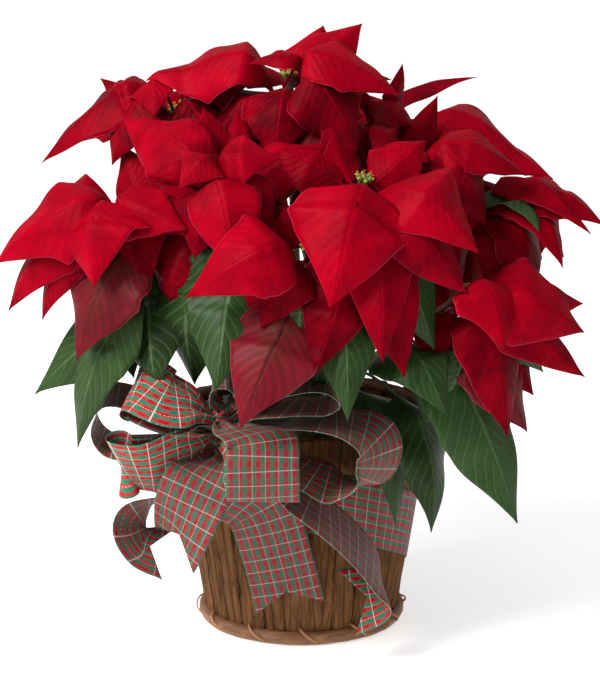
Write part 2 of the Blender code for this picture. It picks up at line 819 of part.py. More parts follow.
def knot(finish):
    """The gathered ribbon in the middle of the bow."""
    x, y, z = KNOT
    half = KNOT_HEIGHT / 2
    path = [(x, y, z + half * share) for share in (-1, -0.75, 0, 0.75, 1)]
    shrink = [KNOT_RADIUS * share for share in (0.6, 0.97, 1, 0.97, 0.6)]
    tube(path, shrink, 16, "bow_knot", finish)


def stems(finish):
    """The trunk on the soil and a branch to each head, grown as one piece."""
    trunk_foot = SOIL_TOP + SEAT_GAP
    path = [(0, 0, trunk_foot), (0, 0, trunk_foot + 8), (0, 0, TRUNK_TOP)]
    trunk = tube(path, (TRUNK_RADIUS + 2, TRUNK_RADIUS, TRUNK_RADIUS - 1), 10, "stems", finish)
    branches = []
    for name, head in HEADS.items():
        curve = branch_curve(head)
        path = [bezier(curve, u) for u in (0, 0.2, 0.4, 0.6, 0.8, 1)]
        radii = np.linspace(BRANCH_RADIUS, SHOOT_RADIUS, len(path))
        branches.append(tube(path, radii, 6, "branch_" + name, finish))
    joined("stems", trunk, branches)


def shoot(head, finish):
    """The top of a head's shoot, which swells to the cup that carries the flowers."""
    axis = head_axis(head)
    top = vec(head.at)
    path = [top - axis * drop for drop in (head.shoot, 9, 3, 0)]
    return tube(path, (SHOOT_RADIUS, SHOOT_RADIUS + 0.3, CUP_RADIUS, CUP_RADIUS), 8, "shoot", finish)


def cyathia(name, head, finish):
    """The cluster of small round flowers on a head's cup."""
    axis = head_axis(head)
    across = unit(np.cross(axis, vec((0.2, 1, 0.1))))
    third = np.cross(axis, across)
    foot = vec(head.at) + axis * SEAT_GAP
    buds = []
    for i in range(3):
        angle = 2 * math.pi * i / 3 + 0.4
        outward = across * math.cos(angle) + third * math.sin(angle)
        start = foot + outward * 2.6 + axis * 0.1 * i
        path = [start + axis * height for height in (0, 3, 6.5 + 0.4 * i)]
        buds.append(tube(path, (2.2, 2.9, 1.1), 6, "bud", finish))
    joined(name, buds[0], buds[1:])


def leaves(finishes, placed, below_bow):
    """The leaves on their branches: those that hang below the bow, or the others."""
    for leaf in (leaf for leaf in LEAVES if leaf.below_bow == below_bow):
        curve = branch_curve(HEADS[leaf.branch])
        on_branch = bezier(curve, leaf.along)
        ahead = unit(bezier(curve, leaf.along + 0.02) - bezier(curve, leaf.along - 0.02))
        chord = unit(vec(leaf.tip) - on_branch)
        away = unit(chord - ahead * chord.dot(ahead))
        radius = BRANCH_RADIUS + (SHOOT_RADIUS - BRANCH_RADIUS) * leaf.along
        slant = STALK_WIDTH / 2 * abs(chord.dot(ahead))
        base = on_branch + away * (radius + STALK_GAP + slant)
        outward = unit(vec((leaf.tip[0], leaf.tip[1], 0))) + vec((0, -leaf.face, 0.6))
        rows, normals = settled(base, leaf.tip, outward, leaf, placed)
        blade_solid(leaf.name, rows, normals, finishes[leaf.colour])


def bracts(finishes, placed):
    """The bracts of every head, each lying on those below, joined to the head's shoot."""
    blades = {name: [] for name in HEADS}
    for bract in BRACTS:
        head = HEADS[bract.head]
        axis = head_axis(head)
        turn = len(blades[bract.head])
        base = vec(head.at) - axis * (bract.drop + SPIRAL_STEP * turn)
        chord = vec(bract.tip) - base
        base = base + unit(chord - axis * chord.dot(axis)) * STALK_INSET
        outward = axis + vec((0, -bract.face, 0))
        rows, normals = settled(base, bract.tip, outward, bract, placed, bract.free)
        blades[bract.head].append(blade_solid("blade", rows, normals, finishes["bract"]))
    for name, head in HEADS.items():
        joined("bracts_" + name, shoot(head, finishes["bract"]), blades[name])


def main():
    """Build every piece."""
    for leftover in list(bpy.data.objects):
        bpy.data.objects.remove(leftover)
    finishes = {
        "bark": material("bark", (0.22, 0.12, 0.06), 0.85),
        "board": material("board", (0.35, 0.24, 0.14), 0.8),
        "hoop": material("hoop", (0.28, 0.13, 0.05), 0.6),
        "liner": material("liner", (0.75, 0.77, 0.75), 0.3),
        "pot": material("pot", (0.05, 0.09, 0.05), 0.45),
        "soil": material("soil", (0.03, 0.02, 0.012), 0.95),
        "ribbon": material("ribbon", (0.35, 0.08, 0.1), 0.5),
        "stem": material("stem", (0.22, 0.3, 0.1), 0.6),
        "bract": material("bract", (0.5, 0.0, 0.015), 0.5),
        "green": material("green", (0.04, 0.11, 0.02), 0.5),
        "turning": material("turning", (0.3, 0.03, 0.03), 0.5),
        "cyathium": material("cyathium", (0.3, 0.4, 0.05), 0.5),
    }
    holder(finishes)
    knot(finishes["ribbon"])
    placed = {"points": [], "faces": []}
    leaves(finishes, placed, below_bow=True)
    for ribbon in RIBBONS:
        ribbon_solid(ribbon, finishes["ribbon"], placed)
    stems(finishes["stem"])
    for name, head in HEADS.items():
        if name != "centre":
            cyathia("cyathia_" + name, head, finishes["cyathium"])
    leaves(finishes, placed, below_bow=False)
    bracts(finishes, placed)


main()
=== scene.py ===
"""Looks for a poinsettia in its nursery pot, in a bark basket with a plaid ribbon bow.

Sizes are in millimetres and turn into metres as each mesh is made. The plant faces -Y, +Z is up,
and the origin is the centre of the basket's foot.
"""

import logging
import math
import random
from dataclasses import dataclass, field
from enum import Enum
from typing import Any, Sequence, Union

import bpy
import numpy as np
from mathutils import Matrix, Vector
from mathutils.bvhtree import BVHTree


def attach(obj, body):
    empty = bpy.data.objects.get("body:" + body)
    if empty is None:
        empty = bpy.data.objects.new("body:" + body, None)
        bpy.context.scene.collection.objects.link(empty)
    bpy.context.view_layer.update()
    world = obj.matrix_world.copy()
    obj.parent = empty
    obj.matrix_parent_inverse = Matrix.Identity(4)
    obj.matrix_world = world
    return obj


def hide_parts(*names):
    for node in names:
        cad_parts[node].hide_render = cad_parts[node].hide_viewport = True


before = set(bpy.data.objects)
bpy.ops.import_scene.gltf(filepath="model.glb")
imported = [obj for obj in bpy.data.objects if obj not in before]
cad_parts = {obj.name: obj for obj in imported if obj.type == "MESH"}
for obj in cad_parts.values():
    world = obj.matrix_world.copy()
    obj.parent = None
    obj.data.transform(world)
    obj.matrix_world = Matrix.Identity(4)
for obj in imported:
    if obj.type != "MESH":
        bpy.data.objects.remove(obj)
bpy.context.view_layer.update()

log = logging.getLogger("poinsettia")

MM = 0.001
BODY = "root"
SEED = 7

# A little over a full turn in radians, for waves that start anywhere and for numbering places round
TURN = 6.3

# In the bark's UVs, how far apart the strips' middles are and how wide each is either way
STRIP_PITCH = 40.0
STRIP_HALF = 11

Colour = tuple[float, float, float]
Point = Sequence[float]


class Slot(Enum):
    """The record's material slots."""

    BARK = "bark"
    HOOP = "hoop"
    LINER = "liner"
    POT = "pot"
    SOIL = "soil"
    RIBBON = "ribbon"
    STEM = "stem"
    BRACT = "bract"
    GREEN = "green"
    TURNING = "turning"
    CYATHIUM = "cyathium"


# Shader graphs


class Value:
    """A number that varies over a surface, with arithmetic that adds Math nodes."""

    def __init__(self, graph: "Graph", socket: bpy.types.NodeSocket) -> None:
        """Wrap a socket.

        Args:
            graph: the graph that the socket is in.
            socket: the output socket that gives the number.
        """
        self.graph = graph
        self.socket = socket

    def math(self, operation: str, *others: Any) -> "Value":
        """Add a Math node with this value first.

        Args:
            operation: the Math node's operation.
            others: its other values.

        Returns:
            The result.
        """
        inputs = dict(enumerate((self, *others)))
        made = self.graph.node("ShaderNodeMath", {"operation": operation}, inputs)
        return Value(self.graph, made.outputs[0])

    def __add__(self, other: Any) -> "Value":
        """This plus the other."""
        return self.math("ADD", other)

    def __sub__(self, other: Any) -> "Value":
        """This minus the other."""
        return self.math("SUBTRACT", other)

    def __mul__(self, other: Any) -> "Value":
        """This times the other."""
        return self.math("MULTIPLY", other)

    def __truediv__(self, other: Any) -> "Value":
        """This divided by the other."""
        return self.math("DIVIDE", other)

    __radd__ = __add__
    __rmul__ = __mul__

    def __rsub__(self, other: float) -> "Value":
        """The number minus this."""
        return self * -1 + other

    def __rtruediv__(self, other: float) -> "Value":
        """The number divided by this."""
        return self.math("POWER", -1) * other

    def size(self) -> "Value":
        """The value without its sign."""
        return self.math("ABSOLUTE")

    def zigzag(self, period: float) -> "Value":
        """A zigzag from 0 to 1 and back over each period."""
        return self.math("PINGPONG", period / 2) / (period / 2)

    def step(self, low: float, high: float) -> "Value":
        """A smooth step from 0 at low to 1 at high.

        Args:
            low: where the step starts.
            high: where it ends.

        Returns:
            The stepped value.
        """
        settings = {"interpolation_type": "SMOOTHSTEP"}
        made = self.graph.node("ShaderNodeMapRange", settings, {0: self, 1: low, 2: high})
        return Value(self.graph, made.outputs[0])


class Graph:
    """A material's nodes, with its Principled shader and output ready."""

    def __init__(self, name: str) -> None:
        """Start a material.

        Args:
            name: the material's name.
        """
        self.material = bpy.data.materials.new(name)
        self.material.use_nodes = True
        self.tree = self.material.node_tree
        self.shader = self.tree.nodes["Principled BSDF"]
        self.output = self.tree.nodes["Material Output"]

    def feed(self, socket: bpy.types.NodeSocket, value: Any) -> None:
        """Link a value or socket to an input, or set the input's own value.

        Args:
            socket: the input.
            value: a Value, a socket, a number or a colour.
        """
        if isinstance(value, Value):
            value = value.socket
        if isinstance(value, bpy.types.NodeSocket):
            self.tree.links.new(value, socket)
        elif isinstance(value, tuple) and socket.type == "RGBA":
            socket.default_value = (*value, 1)
        else:
            socket.default_value = value

    def node(self, kind: str, settings: dict[str, Any], inputs: dict[Union[int, str], Any]) -> bpy.types.Node:
        """Add a node.

        Args:
            kind: the node's type.
            settings: its own settings.
            inputs: its inputs by name or number.

        Returns:
            The node.
        """
        made = self.tree.nodes.new(kind)
        for key, value in settings.items():
            setattr(made, key, value)
        for key, value in inputs.items():
            self.feed(made.inputs[key], value)
        return made

    def mix(self, factor: Any, first: Any, second: Any) -> bpy.types.NodeSocket:
        """Mix two colours.

        Args:
            factor: the second one's share.
            first: a colour or socket.
            second: a colour or socket.

        Returns:
            The mixed colour's socket.
        """
        settings = {"data_type": "RGBA", "clamp_factor": True}
        return self.node("ShaderNodeMix", settings, {0: factor, 6: first, 7: second}).outputs[2]

    def place(self) -> bpy.types.NodeSocket:
        """The place on the object, in metres."""
        return self.node("ShaderNodeTexCoord", {}, {}).outputs["Object"]

    def across_along(self) -> tuple[Value, Value]:
        """Read a piece's UVs.

        Returns:
            The place across the piece and the place along it.
        """
        uv = self.node("ShaderNodeTexCoord", {}, {}).outputs["UV"]
        split = self.node("ShaderNodeSeparateXYZ", {}, {0: uv})
        return Value(self, split.outputs[0]), Value(self, split.outputs[1])

    def joined(self, x: Any, y: Any, z: Any = 0.0) -> bpy.types.NodeSocket:
        """Join three numbers into a vector.

        Args:
            x: the first.
            y: the second.
            z: the third.

        Returns:
            The vector's socket.
        """
        return self.node("ShaderNodeCombineXYZ", {}, {0: x, 1: y, 2: z}).outputs[0]

    def grain(
        self, across: Value, along: Value, features: tuple[float, float], drift: Any = 0.0
    ) -> bpy.types.NodeSocket:
        """A place in a grain that runs along a piece.

        Args:
            across: millimetres across the piece.
            along: millimetres along it.
            features: how many features there are to a millimetre, across and along.
            drift: where in the pattern the piece is cut from.

        Returns:
            The vector's socket.
        """
        return self.joined(across * features[0], along * features[1], drift)

    def noise(self, vector: Any, scale: float, detail: float = 4.0, roughness: float = 0.55) -> Value:
        """Soft cloudy noise from 0 to 1.

        Args:
            vector: where it is read.
            scale: how many features to a unit.
            detail: how many finer layers it has.
            roughness: how strong the finer layers are.

        Returns:
            The noise.
        """
        inputs = {"Vector": vector, "Scale": scale, "Detail": detail, "Roughness": roughness}
        return Value(self, self.node("ShaderNodeTexNoise", {}, inputs).outputs[0])

    def cells(self, vector: Any, scale: float) -> Value:
        """The distance to the nearest cell's edge, for nets and lumps.

        Args:
            vector: where it is read.
            scale: how many cells to a unit.

        Returns:
            The distance.
        """
        settings = {"feature": "DISTANCE_TO_EDGE"}
        made = self.node("ShaderNodeTexVoronoi", settings, {"Vector": vector, "Scale": scale})
        return Value(self, made.outputs[0])

    def mark(self, name: str) -> Value:
        """A number kept on the mesh's points."""
        made = self.node("ShaderNodeAttribute", {"attribute_name": name}, {})
        return Value(self, made.outputs["Fac"])

    def relief(self, height: Value, depth: float, strength: float = 1.0) -> None:
        """Give the surface a relief.

        Args:
            height: the relief, about 0 to 1.
            depth: how deep it is, in millimetres.
            strength: how strongly it shows.
        """
        inputs = {"Strength": strength, "Distance": depth * MM, "Height": height}
        bump = self.node("ShaderNodeBump", {}, inputs)
        self.feed(self.shader.inputs["Normal"], bump.outputs[0])

    def surface(self, colour: Any, roughness: Any, **constants: Any) -> None:
        """Set the shader's colour, roughness and constants.

        Args:
            colour: a colour or socket.
            roughness: a number or Value.
            constants: other inputs, with underscores for spaces.
        """
        self.feed(self.shader.inputs["Base Color"], colour)
        self.feed(self.shader.inputs["Roughness"], roughness)
        for key, value in constants.items():
            self.feed(self.shader.inputs[key.replace("_", " ")], value)

    def let_through(self, colour: Any, share: float) -> None:
        """Let part of the light shine through a thin piece.

        Args:
            colour: the colour of the light that comes through.
            share: how much of the surface lets it through.
        """
        thin = self.node("ShaderNodeBsdfTranslucent", {}, {"Color": colour})
        both = self.node(
            "ShaderNodeMixShader", {}, {0: share, 1: self.shader.outputs[0], 2: thin.outputs[0]}
        )
        self.feed(self.output.inputs["Surface"], both.outputs[0])


# Finishes


@dataclass(frozen=True)
class BladeFinish:
    """A bract's or leaf's finish: ribbed side veins, a midrib and thin edge lines, with painted shade and
    painted highlights.
    """

    name: str
    # deep is the near-black colour for random clouding and painted shade, and bright is the painted highlight
    # on the rib bulges
    deep: Colour
    main: Colour
    bright: Colour
    vein: Colour
    edge: Colour
    under: Colour
    heart: Colour
    glow: Colour
    heart_reach: float = 0.0
    vein_share: float = 0.5
    edge_share: float = 0.5
    through: float = 0.13
    gloss: float = 0.02
    ribbing: float = 0.5
    roughness: float = 0.42
    veins: float = 11.0
    slant: float = 0.27
    wander: float = 0.07
    cloud_scale: float = 38
    blotch_scale: float = 60
    fine_scale: float = 260
    net_scale: float = 620
    net_share: float = 0.09
    under_share: float = 0.75

    def build(self) -> bpy.types.Material:
        """Make the material.

        Returns:
            The material.
        """
        graph = Graph(self.name)
        across, along = graph.across_along()
        side = (across * 2 - 1).size()
        place = graph.place()
        cloud = graph.noise(place, self.cloud_scale)
        fine = graph.noise(place, self.fine_scale)
        wander = (cloud - 0.5) * self.wander
        ridge = ((along - side * self.slant + wander) * self.veins).zigzag(1.0)
        vein = 1 - ridge.step(0.0, 0.3)
        fine_rib = ((along - side * self.slant * 1.3 + wander) * self.veins * 4).zigzag(1.0)
        midrib = 1 - side.step(0.012, 0.07)
        rim = side.step(0.968, 1.0)
        tone = graph.mark("tone")
        net = 1 - graph.cells(place, self.net_scale).step(0.0, 0.16)
        # Painted shade: with random clouds, each piece's darkness value mixes its colour from deep to main,
        # so pieces in shadow are painted near black
        colour = graph.mix(cloud.step(0.3, 0.7) * 0.45 + tone * 0.55, self.deep, self.main)
        # Painted highlight: the bulges between the veins are lightened towards bright, more on the lit pieces
        colour = graph.mix(ridge * fine.step(0.2, 0.8) * tone * 0.25, colour, self.bright)
        blotch = graph.noise(place, self.blotch_scale).step(0.35, 0.6)
        reach = (1 - side.step(0.05, 0.75)) * (1 - along.step(0.25, 0.95)) * (blotch * 0.6 + 0.4)
        colour = graph.mix(reach * self.heart_reach, colour, self.heart)
        colour = graph.mix(vein * (1 - rim) * self.vein_share * 0.7, colour, self.vein)
        colour = graph.mix(net * self.net_share, colour, self.vein)
        colour = graph.mix(midrib * self.vein_share, colour, self.vein)
        colour = graph.mix(rim * self.edge_share, colour, self.edge)
        colour = graph.mix(graph.mark("stalk"), colour, self.vein)
        colour = graph.mix(graph.mark("under") * self.under_share, colour, self.under)
        rough = fine * 0.14 + (self.roughness - 0.07)
        graph.surface(colour, rough, Specular_IOR_Level=self.gloss)
        height = ridge * 0.6 + fine_rib * 0.05 + net * -0.08 - midrib * 0.9 + fine * 0.08
        graph.relief(height, self.ribbing, 0.75)
        graph.let_through(self.glow, self.through)
        return graph.material


@dataclass(frozen=True)
class PlaidFinish:
    """Woven gingham ribbon with red and green stripes and fine white lines, and painted shade on its
    underside.
    """

    name: str
    red: Colour = (0.43, 0.001, 0.018)
    green: Colour = (0.001, 0.18, 0.1)
    white: Colour = (0.9, 0.9, 0.84)
    warp_period: float = 7.125
    weft_period: float = 8.6
    weft_line: float = 11.9
    warp_line: float = 10.2
    warp_line_start: float = 0.2
    dot: float = 1.7
    thread: float = 0.55
    cloud_scale: float = 60
    # A dark colour for random mottling, and for painted shade on the ribbon's underside
    shade: Colour = (0.05, 0.02, 0.025)

    def build(self) -> bpy.types.Material:
        """Make the material, for UVs in millimetres.

        Returns:
            The material.
        """
        graph = Graph(self.name)
        across, along = graph.across_along()
        warp_green = 1 - across.zigzag(self.warp_period).step(0.38, 0.62)
        weft_green = along.zigzag(self.weft_period).step(0.32, 0.68)
        warp = graph.mix(warp_green, self.red, self.green)
        weft = graph.mix(weft_green, self.red, self.green)
        thread_u = across.zigzag(self.thread)
        thread_v = along.zigzag(self.thread)
        over = (thread_u - thread_v).step(-0.6, 0.6)
        colour = graph.mix(over * 0.2 + 0.14, warp, weft)
        weft_white = 1 - along.zigzag(self.weft_line).step(0.02, 0.07)
        dots = along.zigzag(self.dot).step(0.35, 0.6)
        warp_white = (1 - (across + self.warp_line_start).zigzag(self.warp_line).step(0.02, 0.08)) * dots
        colour = graph.mix(weft_white * 0.55, colour, self.white)
        colour = graph.mix(warp_white * 0.6, colour, self.white)
        cloud = graph.noise(graph.place(), self.cloud_scale)
        colour = graph.mix(cloud.step(0.3, 0.9) * 0.12, colour, self.shade)
        # Painted shade: the ribbon's underside, the sheet's lower skin, is darkened
        colour = graph.mix(graph.mark("under") * 0.45, colour, self.shade)
        graph.surface(
            colour, cloud * 0.2 + 0.42, Specular_IOR_Level=0.12, Sheen_Weight=0.04, Sheen_Roughness=0.35
        )
        graph.relief(thread_u * 0.5 + thread_v * 0.5, 0.2, 0.6)
        return graph.material


@dataclass(frozen=True)
class BarkFinish:
    """Rough upright bark: long fibres, dark grooves and paler ridges, and painted shade along each strip's
    edges.
    """

    name: str
    groove: Colour = (0.03, 0.013, 0.006)
    brown: Colour = (0.115, 0.047, 0.016)
    pale: Colour = (0.24, 0.11, 0.043)
    grey: Colour = (0.2, 0.15, 0.11)
    long_features: tuple[float, float] = (0.26, 0.016)
    patch_features: tuple[float, float] = (0.12, 0.03)
    fine_features: tuple[float, float] = (2.6, 0.09)
    crumb_features: tuple[float, float] = (1.5, 0.9)
    crack_features: tuple[float, float] = (0.14, 0.014)
    spread: float = 97
    relief: float = 2.4

    def build(self) -> bpy.types.Material:
        """Make the material, for UVs in millimetres.

        Returns:
            The material.
        """
        graph = Graph(self.name)
        across, along = graph.across_along()
        drift = graph.mark("tone") * self.spread
        long_grain = graph.noise(graph.grain(across, along, self.long_features, drift), 1.0, 6, 0.6)
        patches = graph.noise(graph.grain(across, along, self.patch_features, drift + 5), 1.0, 3)
        fine_grain = graph.noise(graph.grain(across, along, self.fine_features, drift), 1.0, 5, 0.7)
        crumbs = graph.noise(graph.grain(across, along, self.crumb_features, drift), 1.0, 4, 0.7)
        crack = graph.cells(graph.grain(across, along, self.crack_features, drift), 1.0).step(0.0, 0.07)
        seam = across.zigzag(STRIP_PITCH).step(0.42, 0.53)
        colour = graph.mix(long_grain.step(0.3, 0.6), self.groove, self.brown)
        colour = graph.mix(patches.step(0.4, 0.75) * 0.7, colour, self.pale)
        colour = graph.mix(fine_grain.step(0.5, 0.72) * 0.55, colour, self.pale)
        colour = graph.mix(crumbs.step(0.55, 0.75) * 0.35, colour, self.grey)
        colour = graph.mix((1 - crack) * 0.5, colour, self.groove)
        colour = graph.mix(graph.mark("tone") * 0.35, colour, self.pale)
        # Painted shade: each strip's edges, where the strips meet, are darkened nearly to the groove colour
        colour = graph.mix(seam * 0.85, colour, self.groove)
        graph.surface(colour, crumbs * 0.2 + 0.75, Specular_IOR_Level=0.08)
        height = long_grain * 0.7 + fine_grain * 0.3 + crumbs * 0.3 + crack * 0.5 - seam * 0.5
        graph.relief(height, self.relief)
        return graph.material


@dataclass(frozen=True)
class CaneFinish:
    """Split cane: fine lengthwise streaks and a dull skin."""

    name: str
    dark: Colour
    main: Colour
    pale: Colour
    streak_features: tuple[float, float] = (0.9, 0.03)
    patch_features: tuple[float, float] = (0.05, 0.05)

    def build(self) -> bpy.types.Material:
        """Make the material, for UVs in millimetres.

        Returns:
            The material.
        """
        graph = Graph(self.name)
        across, along = graph.across_along()
        streak = graph.noise(graph.grain(across, along, self.streak_features), 1.0, 6, 0.65)
        patch = graph.noise(graph.grain(across, along, self.patch_features), 1.0, 3)
        colour = graph.mix(streak.step(0.35, 0.65), self.dark, self.main)
        colour = graph.mix(patch.step(0.4, 0.75) * 0.6, colour, self.pale)
        graph.surface(colour, streak * 0.25 + 0.4, Specular_IOR_Level=0.35)
        graph.relief(streak, 0.5, 0.7)
        return graph.material


@dataclass(frozen=True)
class GrainFinish:
    """A ground or moulded finish: two colours in clouds, with grains of one size."""

    name: str
    dark: Colour
    main: Colour
    grain: float
    depth: float
    roughness: float
    speck: Colour = (0.0, 0.0, 0.0)
    speck_share: float = 0.0
    grains_to_cloud: float = 5
    specks_to_grain: float = 2.2

    def build(self) -> bpy.types.Material:
        """Make the material.

        Returns:
            The material.
        """
        graph = Graph(self.name)
        place = graph.place()
        cloud = graph.noise(place, self.grain / self.grains_to_cloud)
        grains = graph.noise(place, self.grain, 6, 0.7)
        specks = graph.noise(place, self.grain * self.specks_to_grain, 2).step(0.64, 0.7)
        colour = graph.mix(cloud * 0.5 + grains.step(0.3, 0.7) * 0.5, self.dark, self.main)
        colour = graph.mix(specks * self.speck_share, colour, self.speck)
        graph.surface(colour, grains * 0.2 + (self.roughness - 0.1))
        graph.relief(grains, self.depth)
        return graph.material


@dataclass(frozen=True)
class FilmFinish:
    """Thin cloudy plastic film with fine creases."""

    name: str
    colour: Colour = (0.72, 0.75, 0.73)
    cloudy: Colour = (0.5, 0.54, 0.52)
    glow: Colour = (0.8, 0.85, 0.82)
    through: float = 0.3
    crease_scale: float = 45
    cloud_scale: float = 70
    relief: float = 1.6

    def build(self) -> bpy.types.Material:
        """Make the material.

        Returns:
            The material.
        """
        graph = Graph(self.name)
        place = graph.place()
        crease = graph.cells(place, self.crease_scale).step(0.0, 0.1)
        cloud = graph.noise(place, self.cloud_scale)
        colour = graph.mix(cloud.step(0.3, 0.8) * 0.25, self.colour, self.cloudy)
        graph.surface(colour, cloud * 0.2 + 0.15, Coat_Weight=0.3)
        graph.relief(crease * 0.7 + cloud * 0.6, self.relief, 0.7)
        graph.let_through(self.glow, self.through)
        return graph.material


@dataclass(frozen=True)
class BoardFinish:
    """Plain sawn board with straight grain."""

    name: str
    dark: Colour = (0.24, 0.14, 0.07)
    main: Colour = (0.42, 0.28, 0.16)
    stretch: tuple[float, float, float] = (260.0, 14.0, 60.0)

    def build(self) -> bpy.types.Material:
        """Make the material.

        Returns:
            The material.
        """
        graph = Graph(self.name)
        place = graph.place()
        turned = graph.node("ShaderNodeMapping", {}, {"Vector": place, "Scale": self.stretch})
        grain = graph.noise(turned.outputs[0], 1.0, 6, 0.6)
        colour = graph.mix(grain.step(0.35, 0.65), self.dark, self.main)
        graph.surface(colour, grain * 0.2 + 0.65)
        graph.relief(grain, 0.5)
        return graph.material


@dataclass(frozen=True)
class Palette:
    """Every finish, made once."""

    made: dict[str, bpy.types.Material] = field(default_factory=dict)

    def fill(self) -> None:
        """Make the materials."""
        finishes = (
            BladeFinish(
                "bract_red", deep=(0.04, 0.0, 0.002), main=(0.36, 0.0, 0.01), bright=(0.5, 0.0, 0.018),
                vein=(0.36, 0.001, 0.014), edge=(0.6, 0.04, 0.09), under=(0.26, 0.008, 0.014),
                heart=(0.12, 0.0, 0.003), glow=(0.5, 0.0, 0.006), heart_reach=0.35, vein_share=0.22,
            ),
            BladeFinish(
                "leaf_green", deep=(0.008, 0.02, 0.004), main=(0.024, 0.058, 0.012),
                bright=(0.06, 0.13, 0.03), vein=(0.11, 0.18, 0.07), edge=(0.12, 0.18, 0.07),
                under=(0.11, 0.19, 0.07), heart=(0.025, 0.07, 0.012), glow=(0.12, 0.36, 0.02),
                vein_share=0.42, edge_share=0.3, through=0.16, gloss=0.16,
            ),
            BladeFinish(
                "leaf_turning", deep=(0.08, 0.006, 0.008), main=(0.18, 0.004, 0.014),
                bright=(0.3, 0.018, 0.03), vein=(0.05, 0.008, 0.006), edge=(0.4, 0.08, 0.07),
                under=(0.2, 0.05, 0.045), heart=(0.045, 0.026, 0.009), glow=(0.35, 0.008, 0.01),
                heart_reach=0.5, vein_share=0.75, gloss=0.08,
            ),
            PlaidFinish("plaid_ribbon"),
            BarkFinish("bark"),
            CaneFinish("hoop_cane", (0.09, 0.035, 0.014), (0.25, 0.105, 0.04), (0.36, 0.18, 0.085)),
            CaneFinish("tie_cane", (0.22, 0.09, 0.035), (0.42, 0.19, 0.085), (0.5, 0.27, 0.14)),
            BoardFinish("board"),
            FilmFinish("film_liner"),
            GrainFinish("pot_plastic", (0.008, 0.022, 0.01), (0.018, 0.045, 0.02), 900, 0.15, 0.42),
            GrainFinish(
                "peat_soil", (0.008, 0.005, 0.003), (0.05, 0.028, 0.014), 420, 3.0, 0.95,
                (0.5, 0.42, 0.3), 0.5,
            ),
            GrainFinish(
                "green_stem", (0.09, 0.075, 0.03), (0.2, 0.26, 0.08), 300, 0.6, 0.6, (0.3, 0.2, 0.1), 0.5
            ),
            GrainFinish("red_stalk", (0.05, 0.03, 0.01), (0.16, 0.03, 0.02), 300, 0.4, 0.6),
            GrainFinish("cup_green", (0.06, 0.11, 0.014), (0.18, 0.28, 0.04), 800, 0.3, 0.45),
            GrainFinish("gland_yellow", (0.4, 0.24, 0.01), (0.65, 0.48, 0.04), 900, 0.25, 0.3),
            GrainFinish("stamen_red", (0.35, 0.01, 0.01), (0.6, 0.05, 0.02), 900, 0.25, 0.45),
        )
        for finish in finishes:
            self.made[finish.name] = finish.build()

    def __getitem__(self, name: str) -> bpy.types.Material:
        """The material with that name."""
        return self.made[name]


# Shapes

# The shortest normal that is still divided by, so that a pinched sheet gives no error
TINY = 1e-9

# In a turned outline's UVs, the step from point to point and the least radius that they wrap round
OUTLINE_STEP = 3.0
LEAST_WRAP = 20


def vec(values: Point) -> np.ndarray:
    """The values as a vector."""
    return np.array(values, float)


def unit(vector: np.ndarray) -> np.ndarray:
    """The vector at length one."""
    return vector / np.linalg.norm(vector)


def grid(*values: Any) -> np.ndarray:
    """The values side by side, at every place in a grid of rows and columns."""
    return np.stack(np.broadcast_arrays(*values), axis=2)


def smooth_path(values: Any, count: int) -> np.ndarray:
    """Points at even steps along a smooth curve.

    Args:
        values: the points that the curve goes through.
        count: how many points to give.

    Returns:
        The points, one to a row.
    """
    values = np.array(values, float)
    ends = np.vstack([2 * values[0] - values[1], values, 2 * values[-1] - values[-2]])
    made = []
    for step in np.linspace(0, len(values) - 1, count):
        k = min(int(step), len(values) - 2)
        t = step - k
        a, b, c, d = ends[k : k + 4]
        curve = 2 * b + (c - a) * t + (2 * a - 5 * b + 4 * c - d) * t**2
        made.append(0.5 * (curve + (3 * b - a - 3 * c + d) * t**3))
    return np.array(made)


def bezier(points: Sequence[np.ndarray], u: float) -> np.ndarray:
    """A point on a cubic curve.

    Args:
        points: its four control points.
        u: how far along, from 0 to 1.

    Returns:
        The point.
    """
    a, b, c, d = points
    v = 1 - u
    return a * v**3 + 3 * b * u * v**2 + 3 * c * u**2 * v + d * u**3


